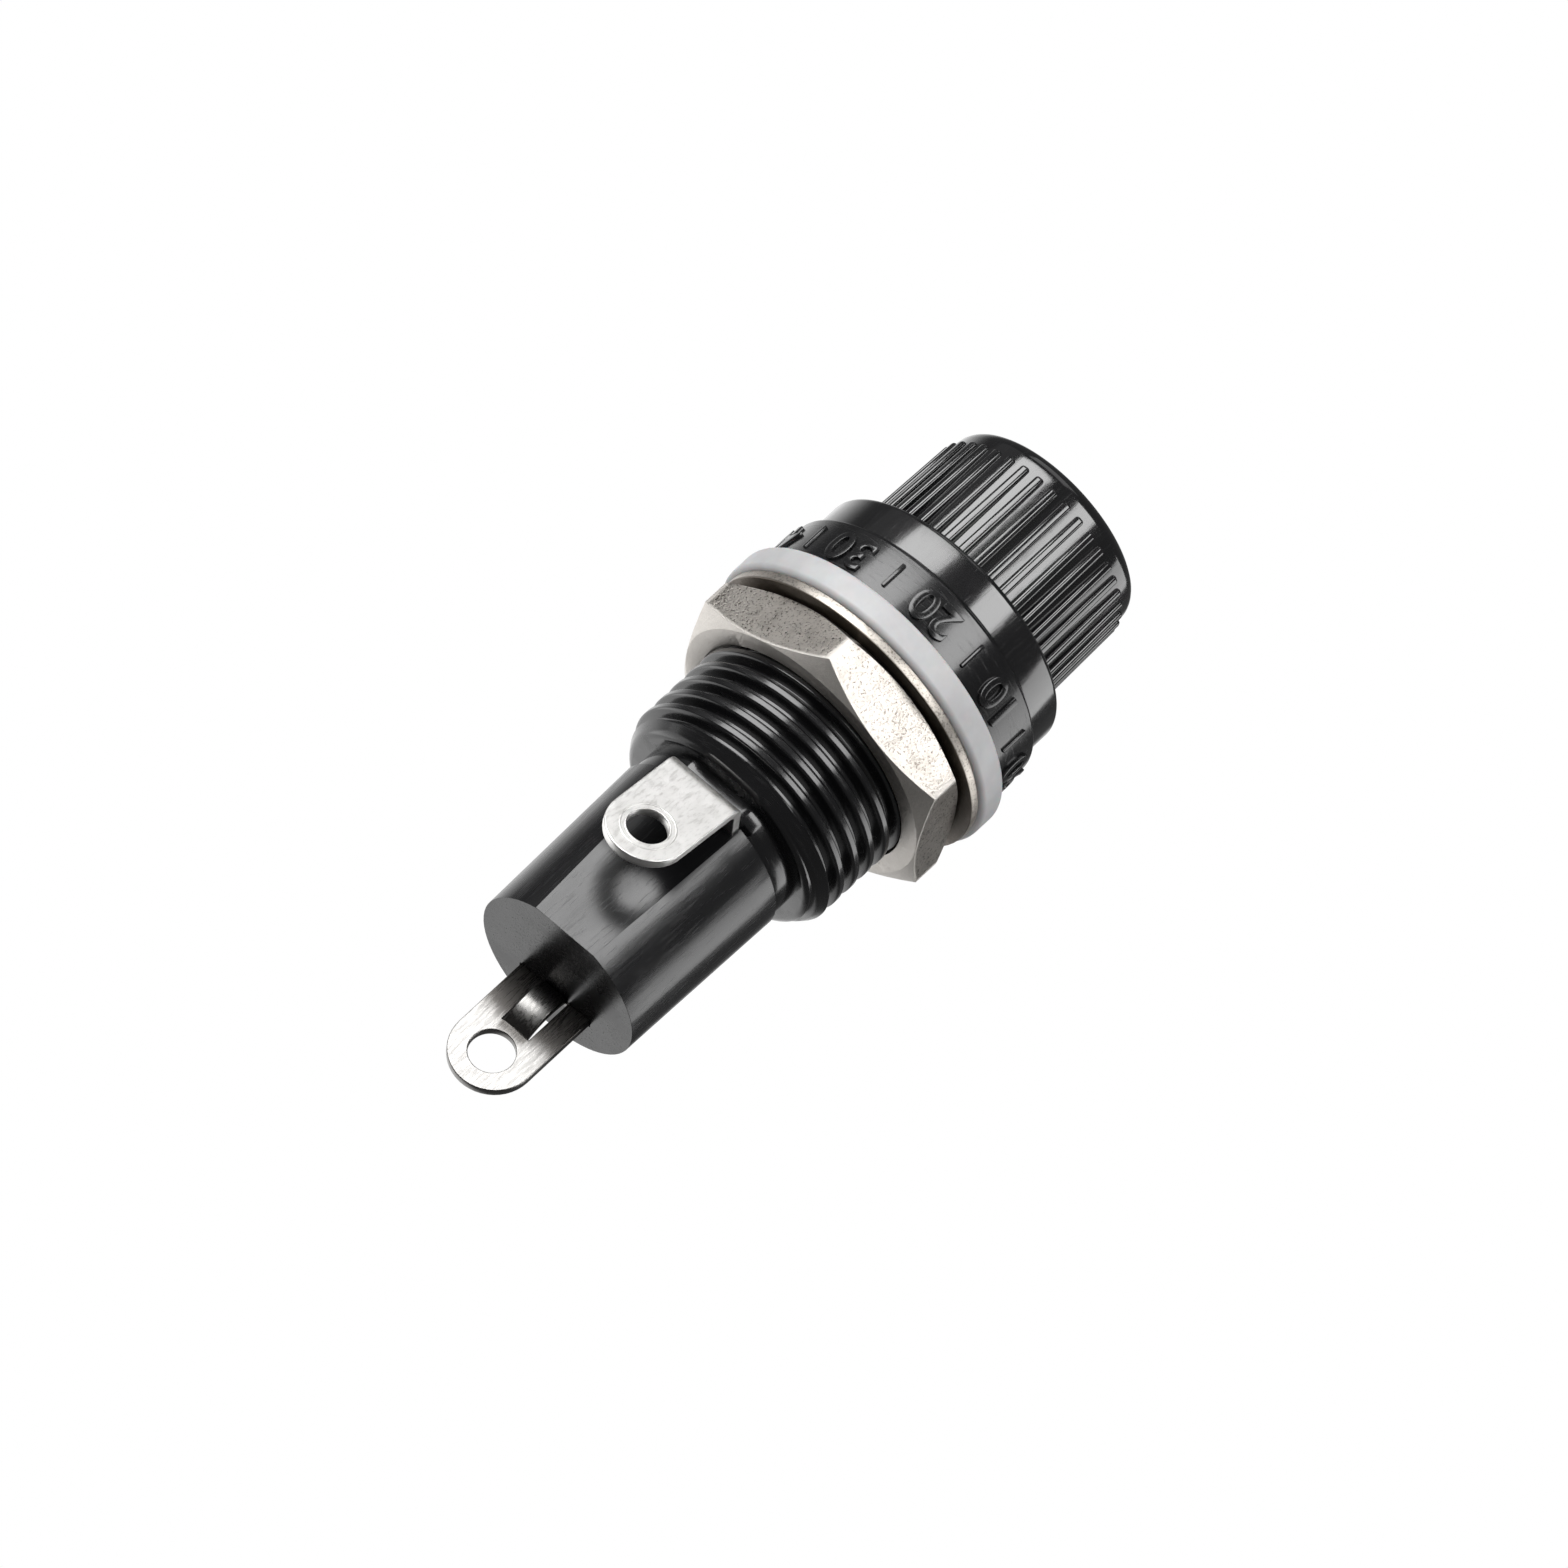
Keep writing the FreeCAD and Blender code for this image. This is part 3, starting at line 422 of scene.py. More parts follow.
def thread_tree():
    """A screw thread's surface: a grid wound on a helix, whose radius follows the groove."""
    t, given = geometry_tree(
        "thread_surface",
        {
            "Pitch": ("Float", PITCH),
            "Groove start": ("Float", GROOVE_START),
            "Low": ("Float", 0.0),
            "High": ("Float", 1.0),
            "Turns": ("Int", 12),
            "Rows per turn": ("Int", 24),
            "Around": ("Int", AROUND),
            "Groove radius": ("Float", THREAD_RADIUS - THREAD_DEPTH),
            "Crest radius": ("Float", THREAD_RADIUS),
            "Half root": ("Float", THREAD_ROOT),
            "Flank": ("Float", THREAD_FLANK),
            "Lead radius": ("Float", NO_LEADIN),
            "Lead slope": ("Float", 0.0),
            "Lead edge": ("Float", 0.0),
            "Foot radius": ("Float", 0.0),
            "Top radius": ("Float", 0.0),
            "End slope": ("Float", 1.0),
            "Material": ("Material", None),
        },
    )
    rows = t.math("ADD", t.math("MULTIPLY", given["Turns"], given["Rows per turn"]), 1.0)
    columns = t.math("ADD", given["Around"], 1.0)
    sides = {"Size X": 1.0, "Size Y": 1.0, "Vertices X": rows, "Vertices Y": columns}
    grid = t.node("GeometryNodeMeshGrid", sides)
    spot = t.node("GeometryNodeInputPosition").outputs[0]
    place = t.node("ShaderNodeSeparateXYZ", {0: spot}).outputs
    along = t.math("MULTIPLY", t.math("ADD", place[0], 0.5), given["Turns"])
    turn = t.math("ADD", place[1], 0.5)
    raw = t.math("MULTIPLY_ADD", t.math("ADD", along, turn), given["Pitch"], given["Groove start"])
    height = t.math("MINIMUM", t.math("MAXIMUM", raw, given["Low"]), given["High"])
    turns_up = t.math("DIVIDE", t.math("SUBTRACT", height, given["Groove start"]), given["Pitch"])
    phase = t.math("SUBTRACT", turns_up, turn)
    # Distance in turns from the middle of the groove: 0 there, 0.5 halfway to the next one
    off_root = t.math("ABSOLUTE", t.math("SUBTRACT", t.math("FRACT", t.math("ADD", phase, 100.5)), 0.5))
    flank_end = t.math("ADD", given["Half root"], given["Flank"])
    radius = t.ramp(off_root, given["Half root"], flank_end, given["Groove radius"], given["Crest radius"])
    up = t.math("SUBTRACT", height, given["Low"])
    down = t.math("SUBTRACT", given["High"], height)
    lead = t.math("MULTIPLY_ADD", up, given["Lead slope"], given["Lead radius"])
    short = t.math("MAXIMUM", t.math("SUBTRACT", given["Lead edge"], up), 0.0)
    across = t.math("SUBTRACT", t.math("POWER", given["Lead edge"], 2.0), t.math("POWER", short, 2.0))
    lead = t.math("SUBTRACT", lead, t.math("SUBTRACT", given["Lead edge"], t.math("SQRT", across)))
    foot = t.math("SUBTRACT", given["Foot radius"], t.math("MULTIPLY", up, given["End slope"]))
    top = t.math("SUBTRACT", given["Top radius"], t.math("MULTIPLY", down, given["End slope"]))
    radius = t.math("MAXIMUM", t.math("MAXIMUM", t.math("MINIMUM", radius, lead), foot), top)
    angle = t.math("MULTIPLY", turn, 2 * math.pi)
    wound = t.node(
        "ShaderNodeCombineXYZ",
        {
            0: t.math("MULTIPLY", radius, t.math("COSINE", angle)),
            1: t.math("MULTIPLY", radius, t.math("SINE", angle)),
            2: height,
        },
    )
    scaled = t.node("ShaderNodeVectorMath", {0: wound.outputs[0], 3: MM}, operation="SCALE")
    moved = t.node("GeometryNodeSetPosition", {"Geometry": grid.outputs[0], "Position": scaled.outputs[0]})
    welded = t.node("GeometryNodeMergeByDistance", {"Geometry": moved.outputs[0], "Distance": WELD})
    return t.finish_pieces(welded.outputs[0], given["Material"])


def round_tree():
    """Copies of one piece at even steps round the axis."""
    t, given = geometry_tree(
        "round_the_axis",
        {
            "Piece": ("Object", None),
            "Count": ("Int", RIDGES),
            "Radius": ("Float", 0.0),
            "First angle": ("Float", 0.0),
            "Unevenness": ("Float", 0.0),
            "Seed": ("Int", 4),
            "Material": ("Material", None),
        },
    )
    piece = t.node("GeometryNodeObjectInfo", {"Object": given["Piece"]}, transform_space="ORIGINAL")
    step = t.math("DIVIDE", 2 * math.pi, given["Count"])
    index = t.node("GeometryNodeInputIndex").outputs[0]
    angle = t.math("MULTIPLY_ADD", index, step, given["First angle"])
    spot = t.node(
        "ShaderNodeCombineXYZ",
        {
            0: t.math("MULTIPLY", given["Radius"], t.math("COSINE", angle)),
            1: t.math("MULTIPLY", given["Radius"], t.math("SINE", angle)),
        },
    )
    points = t.node("GeometryNodePoints", {"Count": given["Count"], "Position": spot.outputs[0]})
    chance = t.node("FunctionNodeRandomValue", {2: -1.0, 3: 1.0, "Seed": given["Seed"]}, data_type="FLOAT")
    leaning = t.math("MULTIPLY_ADD", chance.outputs[1], given["Unevenness"], angle)
    turn = t.node("ShaderNodeCombineXYZ", {2: leaning})
    copies = t.node(
        "GeometryNodeInstanceOnPoints",
        {"Points": points.outputs[0], "Instance": piece.outputs["Geometry"], "Rotation": turn.outputs[0]},
    )
    return t.finish_pieces(copies.outputs[0], given["Material"])


def coil_tree():
    """A coil spring: a round wire drawn along a spiral."""
    t, given = geometry_tree(
        "coil_spring",
        {
            "Turns": ("Float", SPRING_TURNS),
            "Coil radius": ("Float", 0.0),
            "Height": ("Float", 0.0),
            "Wire radius": ("Float", 0.0),
            "Low": ("Float", 0.0),
            "Steps per turn": ("Int", 48),
            "Wire sides": ("Int", 12),
            "Material": ("Material", None),
        },
    )
    path = t.node(
        "GeometryNodeCurveSpiral",
        {
            "Resolution": given["Steps per turn"],
            "Rotations": given["Turns"],
            "Start Radius": given["Coil radius"],
            "End Radius": given["Coil radius"],
            "Height": given["Height"],
        },
    )
    section = {"Resolution": given["Wire sides"], "Radius": given["Wire radius"]}
    wire = t.node("GeometryNodeCurvePrimitiveCircle", section)
    coil = t.node(
        "GeometryNodeCurveToMesh",
        {"Curve": path.outputs[0], "Profile Curve": wire.outputs[0], "Fill Caps": True},
    )
    lift = t.node("ShaderNodeCombineXYZ", {2: given["Low"]})
    moved = t.node("GeometryNodeTransform", {"Geometry": coil.outputs[0], "Translation": lift.outputs[0]})
    return t.finish_pieces(moved.outputs[0], given["Material"])


def new_material(name, color, metallic=0.0, roughness=0.3, **sockets):
    """A material with a Principled shader, and its tree."""
    material = bpy.data.materials.new(name)
    material.use_nodes = True
    t, shader = shader_of(material)
    shader.inputs["Base Color"].default_value = (*color, 1)
    shader.inputs["Metallic"].default_value = metallic
    shader.inputs["Roughness"].default_value = roughness
    for label, value in sockets.items():
        shader.inputs[label.replace("_", " ")].default_value = value
    return material, t, shader


def shader_of(material):
    """A material's tree and its Principled shader."""
    t = Tree(material.node_tree)
    return t, t.tree.nodes["Principled BSDF"]


def noise(t, size, stretch=(1, 1, 1), detail=4.0, rough=0.55):
    """Noise whose grains are about this size in millimetres, drawn out along an axis."""
    place = t.node("ShaderNodeTexCoord").outputs["Object"]
    scale = tuple(1 / (size * MM * s) for s in stretch)
    mapping = t.node("ShaderNodeMapping", {"Vector": place, "Scale": scale})
    grains = {"Vector": mapping.outputs[0], "Scale": 1.0, "Detail": detail, "Roughness": rough}
    return t.node("ShaderNodeTexNoise", grains).outputs[0]


def tint(t, shader, factor, dark, light):
    """Varies the base colour between two colours, each one given or a socket."""
    mix = t.node("ShaderNodeMix", {"Factor": factor}, data_type="RGBA")
    for socket, color in ((mix.inputs[6], dark), (mix.inputs[7], light)):
        t.put(socket, color if isinstance(color, bpy.types.NodeSocket) else (*color, 1))
    t.put(shader.inputs["Base Color"], mix.outputs[2])


def bump(t, shader, height, depth, strength=1.0):
    """Raises a surface by this many millimetres where the height is 1."""
    node = t.node("ShaderNodeBump", {"Strength": strength, "Distance": depth * MM, "Height": height})
    t.put(shader.inputs["Normal"], node.outputs[0])


def moulded_black(name, base=0.006, low=0.1, high=0.2, scuff=0.1, grain=(1, 1, 9), depth=0.003, **sockets):
    """Glossy moulded plastic with soft bands of sheen and fine scuffs."""
    look = {"IOR": 1.68, "Coat_Weight": 0.5, "Coat_Roughness": 0.08, "Coat_IOR": 1.5, **sockets}
    black = (base, base, base * 1.1)
    scuffed = (base * 2, base * 2, base * 2.1)
    material, t, shader = new_material(name, black, 0.0, low, **look)
    clouds = noise(t, 2.2, stretch=(1, 1, 4), detail=3.0)
    scuffs = noise(t, 0.13, stretch=grain, rough=0.6)
    swells = noise(t, 1.1, stretch=grain, detail=2.0)
    sheen = t.ramp(clouds, 0.32, 0.68, low, high)
    marks = t.ramp(scuffs, 0.52, 0.72, 0.0, scuff)
    t.put(shader.inputs["Roughness"], t.math("ADD", sheen, marks))
    tint(t, shader, t.ramp(scuffs, 0.5, 0.8), black, scuffed)
    bump(t, shader, t.math("MULTIPLY_ADD", swells, 3.0, scuffs), depth, 0.8)
    return material


def dull_behind_lug(material):
    """Dulls the tail's flat where the side lug lies over it."""
    t, shader = shader_of(material)
    x, y, z = t.place()
    beside = t.fade(t.math("ABSOLUTE", y), 1.9, 2.5, 1.0, 0.0)
    above = t.fade(z, -15.4, -14.2)
    front = t.fade(x, 3.2, 3.8)
    dull = t.math("MULTIPLY", t.math("MULTIPLY", beside, above), front)
    t.put(shader.inputs["Specular IOR Level"], t.math("MULTIPLY_ADD", dull, -0.43, 0.5))


def plated(name, dark, light, rough, grain, depth, stretch=(1, 1, 1), contrast=1.0, under=None):
    """Plated metal with a grain of this size and depth. Below the height under it, painted shade darkens it.
    """
    material, t, shader = new_material(name, light, 1.0, rough)
    fine = noise(t, grain, stretch, detail=5.0, rough=0.62)
    broad = noise(t, grain * 7, stretch, detail=3.0)
    speckle = t.math("MULTIPLY", t.ramp(fine, 0.5, 0.36), contrast)
    factor = t.math("MAXIMUM", t.math("SUBTRACT", t.ramp(broad, 0.2, 0.6, 0.6, 1.0), speckle), 0.0)
    # Painted shade: the colour darkens below the height under
    if under is not None:
        height = t.place()[2]
        factor = t.math("MULTIPLY", factor, t.fade(height, under - 0.04, under + 0.04))
    tint(t, shader, factor, dark, light)
    t.put(shader.inputs["Roughness"], t.ramp(fine, 0.3, 0.75, rough * 0.85, rough * 1.25))
    bump(t, shader, fine, depth)
    return material


def worn_and_lit_nut(material):
    """Wears the nut's corners brighter and less shiny, and paints its chamfer and the face towards the tail
    lighter and less shiny as painted light.
    """
    worn_lit_color = (0.88, 0.845, 0.8)
    t, shader = shader_of(material)
    x, y, z = t.place()
    turn = t.math("SUBTRACT", t.math("ARCTAN2", y, x), math.radians(NUT_TURN))
    from_corner = t.math("PINGPONG", turn, math.radians(30))
    corner = t.ramp(from_corner, math.radians(0.7), math.radians(2.0), 1.0, 0.0)
    radius = t.math("SQRT", t.math("ADD", t.math("POWER", x, 2.0), t.math("POWER", y, 2.0)))
    cone = t.math("MULTIPLY", t.math("SUBTRACT", radius, NUT_FLAT * MM), CHAMFER_SLOPE)
    above = t.math("SUBTRACT", z, t.math("ADD", cone, NUT_LOW * MM))
    # Painted light on the chamfer and the face towards the tail; the corners are real wear
    chamfer = t.fade(above, 0.04, 0.2, 1.0, 0.0)
    face = t.fade(z, NUT_LOW + 0.03, NUT_LOW + 0.1, 1.0, 0.0)
    wear_and_light = t.math("MAXIMUM", t.math("MAXIMUM", corner, face), chamfer)
    plain_color = shader.inputs["Base Color"].links[0].from_socket
    plain_rough = shader.inputs["Roughness"].links[0].from_socket
    tint(t, shader, t.math("MULTIPLY", wear_and_light, 0.8), plain_color, worn_lit_color)
    t.put(shader.inputs["Roughness"], t.math("MULTIPLY_ADD", wear_and_light, 0.2, plain_rough))


def strip_of_tin(name):
    """Bright tinned strip, painted dull and dark beside the tail and at the tongue's ends, a painted shade.
    """
    bright = (0.25, 0.245, 0.238)
    dull = (0.05, 0.046, 0.042)
    material, t, shader = new_material(name, bright, 1.0, 0.2)
    _, y, z = t.place()
    streaks = noise(t, 0.09, stretch=(1, 1, 10), detail=5.0, rough=0.7)
    ragged = t.math("MULTIPLY_ADD", t.math("SUBTRACT", streaks, 0.5), 0.9 * MM, z)
    on_tongue = t.fade(t.math("ABSOLUTE", y), 0.78, 0.7)
    on_rails = t.math("SUBTRACT", 1.0, on_tongue)
    # Painted shade: the rails darken next to the tail, and the tongue at its bent ends
    rail_shade = t.fade(ragged, -22.7, -21.5, 0.0, 0.86)
    tongue_low_shade = t.fade(ragged, -21.3, -21.9, 0.0, 0.8)
    tongue_high_shade = t.fade(ragged, -20.5, -19.9, 0.0, 0.7)
    tongue = t.math("MULTIPLY", t.math("MAXIMUM", tongue_low_shade, tongue_high_shade), on_tongue)
    dark = t.math("ADD", t.math("MULTIPLY", rail_shade, on_rails), tongue)
    dark = t.math("MULTIPLY", dark, t.fade(z, -22.9, -22.3))
    tint(t, shader, dark, bright, dull)
    t.put(shader.inputs["Roughness"], t.ramp(streaks, 0.3, 0.75, 0.22, 0.4))
    bump(t, shader, streaks, 0.004, 0.7)
    return material


def soft_ring(name):
    """Pale grey soft ring, a little see-through."""
    grey = (0.52, 0.52, 0.525)
    darker = (0.49, 0.49, 0.495)
    lighter = (0.55, 0.55, 0.553)
    look = {"Subsurface_Weight": 0.2, "Subsurface_Scale": 0.001}
    material, t, shader = new_material(name, grey, 0.0, 0.45, **look)
    tint(t, shader, t.ramp(noise(t, 1.4, detail=3.0), 0.3, 0.7), darker, lighter)
    bump(t, shader, noise(t, 0.12), 0.005, 0.6)
    return material


def make_barrel(thread):
    """Neck, threaded barrel and collar, open down the middle for the cap and the contact sleeve."""
    helix = grown(
        "thread",
        thread,
        {
            "Low": NECK_TOP,
            "High": COLLAR_LOW,
            "Groove radius": THREAD_RADIUS - THREAD_DEPTH,
            "Crest radius": THREAD_RADIUS,
            "Lead radius": LEADIN_RADIUS,
            "Lead slope": LEADIN_SLOPE,
            "Lead edge": LEADIN_EDGE,
            "Top radius": THREAD_RADIUS,
            "End slope": 1.0,
            "Material": black_body,
        },
    )
    bm = bmesh.new()
    bm.from_mesh(helix.data)
    bpy.data.objects.remove(helix)
    corner = math.acos(FLAT / NECK_RADIUS)
    side = math.asin(NOTCH_HALF / NECK_RADIUS)
    angles = around_angles((corner, -corner, side, side + NOTCH_STEP, -side, -side - NOTCH_STEP))
    collar_and_bore = rounded(
        [
            (THREAD_RADIUS, COLLAR_LOW, 0),
            (COLLAR_RADIUS, COLLAR_LOW, COLLAR_EDGE),
            (COLLAR_RADIUS, COLLAR_TOP, COLLAR_EDGE),
            (SKIRT_BORE, COLLAR_TOP, MOUTH_EDGE),
            (SKIRT_BORE, SKIRT_SEAT, 0),
            (SLEEVE_BORE, SKIRT_SEAT, SLEEVE_EDGE),
            (SLEEVE_BORE, SEAM, 0),
        ]
    )
    rings_mesh(bm, turned_rings(collar_and_bore), closed=False)
    neck = [
        (SLEEVE_BORE, SEAM),
        (NECK_RADIUS - NECK_EDGE, SEAM),
        (NECK_RADIUS, SEAM + NECK_EDGE),
        (NECK_RADIUS, NECK_TOP),
    ]
    rings = turned_rings(neck, angles, FLAT)
    for ring in rings[1:3]:
        for k, (x, y, z) in enumerate(ring):
            off_front = min(angles[k], 2 * math.pi - angles[k])
            if x > 0 and off_front < side + NOTCH_STEP / 4:
                ring[k] = (x, y, z + NOTCH_TOP - SEAM)
    rings_mesh(bm, rings, closed=False)
    end_radius = LEADIN_RADIUS - LEADIN_EDGE
    shoulder = turned_rings([(NECK_RADIUS, NECK_TOP)], angles, FLAT) + turned_rings([(end_radius, NECK_TOP)])
    rings_mesh(bm, shoulder, closed=False)
    return finish_mesh("barrel", bm, degrees=45)


def make_nut(thread):
    """Hexagon nut with chamfered faces and the thread inside it."""
    sink = NUT_MINOR + NUT_SINK
    helix = grown(
        "nut_thread",
        thread,
        {
            "Low": NUT_LOW,
            "High": NUT_TOP,
            "Groove radius": NUT_MINOR,
            "Crest radius": NUT_MAJOR,
            "Half root": NUT_ROOT,
            "Flank": NUT_FLANK,
            "Foot radius": sink,
            "Top radius": sink,
            "Material": nickel,
        },
    )
    top_circle = NUT_FLAT - NUT_TOP_INSET
    rings = [[] for _ in range(6)]
    for a in around_angles():
        from_middle = (math.degrees(a) - NUT_TURN) % 60 - 30
        far = NUT_FLAT / math.cos(math.radians(from_middle))
        low_circle = min(NUT_FLAT - NUT_LOW_INSET, far)
        spots = (
            (sink, NUT_LOW),
            (low_circle, NUT_LOW),
            (far, NUT_LOW + (far - low_circle) * CHAMFER_SLOPE),
            (far, NUT_TOP - (far - top_circle) * CHAMFER_SLOPE),
            (top_circle, NUT_TOP),
            (sink, NUT_TOP),
        )
        for ring, (r, z) in zip(rings, spots):
            ring.append((r * math.cos(a), r * math.sin(a), z))
    bm = bmesh.new()
    rings_mesh(bm, rings, closed=False)
    block = bevelled(finish_mesh("nut_block", bm), NUT_EDGE, degrees=22)
    bm = bmesh.new()
    bm.from_mesh(block.data)
    bm.from_mesh(helix.data)
    bpy.data.objects.remove(block)
    bpy.data.objects.remove(helix)
    return finish_mesh("nut", bm, CREASE)


def make_cap():
    """Cap without its ridges: skirt, smooth ring, core and rounded rim."""
    corners = [
        (SKIRT_INSIDE, SKIRT_LOW, SKIRT_INNER_EDGE),
        (SKIRT_RADIUS, SKIRT_LOW, SKIRT_EDGE),
        (SKIRT_RADIUS, CAP_LOW, 0),
        (RING_RADIUS, CAP_LOW, RING_LOW_EDGE),
        (RING_RADIUS, RING_TOP, RING_TOP_EDGE),
        (RIDGE_ROOT, RING_TOP, RIDGE_ROOT_EDGE),
        (RIDGE_ROOT, RIDGE_TOP, 0),
        (RIM_RADIUS, RIDGE_TOP, 0),
        (RIM_RADIUS, KNOB_TOP, RIM_EDGE),
        (0, KNOB_TOP, 0),
        (0, ROOF, 0),
        (SKIRT_INSIDE, ROOF, 0),
    ]
    return turned("cap_core", corners, CREASE)


def make_ridge():
    """One ridge of the knob about its own foot, with softened edges, sunk a little into the core."""
    foot = RIDGE_ROOT - RIDGE_SINK
    bm = bmesh.new()
    ends = []
    for z, top in ((RING_TOP - RIDGE_TUCK, KNOB_LOW), (RIDGE_TOP, KNOB_HIGH)):
        half = (2 * math.pi * top / RIDGES - GROOVE_WIDTH) / 2 - RIDGE_TRIM
        wide = half + RIDGE_DRAFT
        corners = [(foot, -wide), (top, -half), (top, half), (foot, wide)]
        ends.append([(x - RIDGE_ROOT, y, z) for x, y in corners])
    verts = [[bm.verts.new(Vector(p) * MM) for p in end] for end in ends]
    for k in range(4):
        n = (k + 1) % 4
        bm.faces.new([verts[0][k], verts[0][n], verts[1][n], verts[1][k]])
    bm.faces.new(verts[0])
    bm.faces.new(verts[1])
    return bevelled(finish_mesh("ridge", bm), RIDGE_EDGE, steps=4)


def make_ridges(around):
    """All the knob's ridges, as copies of one."""
    ridge = make_ridge()
    values = {
        "Piece": ridge,
        "Count": RIDGES,
        "Radius": RIDGE_ROOT * MM,
        "Unevenness": RIDGE_LEAN,
        "Material": black_cap,
    }
    ridges = grown("cap_ridges", around, values)
    bpy.data.objects.remove(ridge)
    smooth(ridges.data, CREASE)
    return ridges


def make_numbers():
    """Raised plain numbers round the collar, read from the tail's side."""
    bm = bmesh.new()
    middle = (COLLAR_LOW + COLLAR_TOP) / 2
    for k in range(MARKS):
        curve = bpy.data.curves.new("number", "FONT")
        curve.body = str(10 * (k + 1))
        curve.size = NUMBER_SIZE
        curve.align_x = "CENTER"
        curve.align_y = "CENTER"
        curve.extrude = NUMBER_RISE
        curve.bevel_depth = NUMBER_EDGE
        curve.bevel_resolution = 1
        curve.offset = NUMBER_WEIGHT
        curve.resolution_u = 6
        text = new_object("number", curve)
        mesh = bpy.data.meshes.new_from_object(text)
        bpy.data.objects.remove(text)
        middle_angle = math.radians(FIRST_NUMBER - MARK_STEP * k)
        for vert in mesh.vertices:
            x, y, lift = vert.co
            angle = middle_angle - x / COLLAR_RADIUS
            r = COLLAR_RADIUS + lift
            vert.co = Vector((r * math.cos(angle), r * math.sin(angle), middle - y)) * MM
        bm.from_mesh(mesh)
    return finish_mesh("collar_numbers", bm, CREASE, FINE_WELD)


def make_tick():
    """One raised bar of the collar, between two numbers."""
    bm = bmesh.new()
    bmesh.ops.create_cube(bm, size=1.0)
    bm.transform(Matrix.Diagonal((*TICK_SIZE, 1)))
    bm.transform(Matrix.Translation((0, 0, (COLLAR_LOW + COLLAR_TOP) / 2)))
    bm.transform(Matrix.Scale(MM, 4))
    return bevelled(finish_mesh("tick", bm), TICK_EDGE, steps=2)


def make_ticks(around):
    """All the collar's bars, as copies of one."""
    tick = make_tick()
    values = {
        "Piece": tick,
        "Count": MARKS,
        "Radius": COLLAR_RADIUS * MM,
        "First angle": math.radians(FIRST_TICK),
        "Material": black_body,
    }
    ticks = grown("collar_ticks", around, values)
    bpy.data.objects.remove(tick)
    return ticks


def make_lug_ring():
    """The two fine beads coined round the side lug's hole."""
    bm = bmesh.new()
    for middle, half, height in LUG_BEADS:
        low, high = middle - half, middle + half
        corners = [
            (low, -BEAD_SINK, 0),
            (high, -BEAD_SINK, 0),
            (high - BEAD_SLANT, height, BEAD_EDGE),
            (low + BEAD_SLANT, height, BEAD_EDGE),
        ]
        rings_mesh(bm, turned_rings(rounded(corners, steps=4)))
    turn = Vector((0, 0, 1)).rotation_difference(Vector(LUG_NORMAL)).to_matrix().to_4x4()
    bm.transform(Matrix.Translation(Vector(LUG_HOLE) * MM) @ turn)
    return finish_mesh("side_lug_ring", bm, CREASE, FINE_WELD)


def make_gasket():
    """Soft ring under the collar."""
    corners = [
        (GASKET_INSIDE, 0, 0),
        (GASKET_RADIUS, 0, GASKET_EDGE),
        (GASKET_RADIUS, COLLAR_LOW, GASKET_EDGE),
        (GASKET_INSIDE, COLLAR_LOW, 0),
    ]
    return turned("gasket_ring", corners)


def make_spring():
    """Coil spring between the end lug's foot and the plunger."""
    values = {
        "Coil radius": SPRING_RADIUS * MM,
        "Height": (SPRING_HIGH - SPRING_LOW - 2 * WIRE_RADIUS) * MM,
        "Wire radius": WIRE_RADIUS * MM,
        "Low": (SPRING_LOW + WIRE_RADIUS) * MM,
        "Material": steel,
    }
    spring = grown("spring", coil_tree(), values)
    smooth(spring.data, degrees=50)
    return spring


def seen_white(t, plain, seen):
    """Mixes a plain closure with one that camera, mirror and see-through rays meet."""
    path = t.node("ShaderNodeLightPath").outputs
    seen_by = t.math("MAXIMUM", path["Is Camera Ray"], path["Is Glossy Ray"])
    seen_by = t.math("MAXIMUM", seen_by, path["Is Transmission Ray"])
    mix = t.node("ShaderNodeMixShader", {0: seen_by})
    t.put(mix.inputs[1], plain)
    t.put(mix.inputs[2], seen)
    return mix.outputs[0]


def studio_white(t, direction):
    """White to the camera. Mirror-like surfaces see white towards the backdrop, and dim elsewhere."""
    toward = t.node("ShaderNodeVectorMath", {0: direction, 1: BACKDROP}, operation="DOT_PRODUCT")
    mirrored = t.ramp(toward.outputs["Value"], *BACKDROP_FADE, *BACKDROP_LIGHT)
    glossy = t.node("ShaderNodeLightPath").outputs["Is Glossy Ray"]
    return t.math("MULTIPLY_ADD", glossy, t.math("SUBTRACT", mirrored, 1.0), 1.0)


def make_floor():
    """A wide pale floor, far below the part."""
    bm = bmesh.new()
    half = FLOOR_HALF
    corners = ((-half, -half), (half, -half), (half, half), (-half, half))
    bm.faces.new([bm.verts.new((x, y, FLOOR_LEVEL)) for x, y in corners])
    floor = finish_mesh("floor", bm)
    material, t, shader = new_material("pale_floor", (0.86, 0.86, 0.86), 0.0, 0.8)
    place = t.node("ShaderNodeTexCoord").outputs["Object"]
    direction = t.node("ShaderNodeVectorMath", {0: place}, operation="NORMALIZE").outputs[0]
    strength = studio_white(t, direction)
    white = t.node("ShaderNodeEmission", {"Color": (1, 1, 1, 1), "Strength": strength})
    output = t.tree.nodes["Material Output"]
    t.put(output.inputs["Surface"], seen_white(t, shader.outputs[0], white.outputs[0]))
    floor.data.materials.append(material)


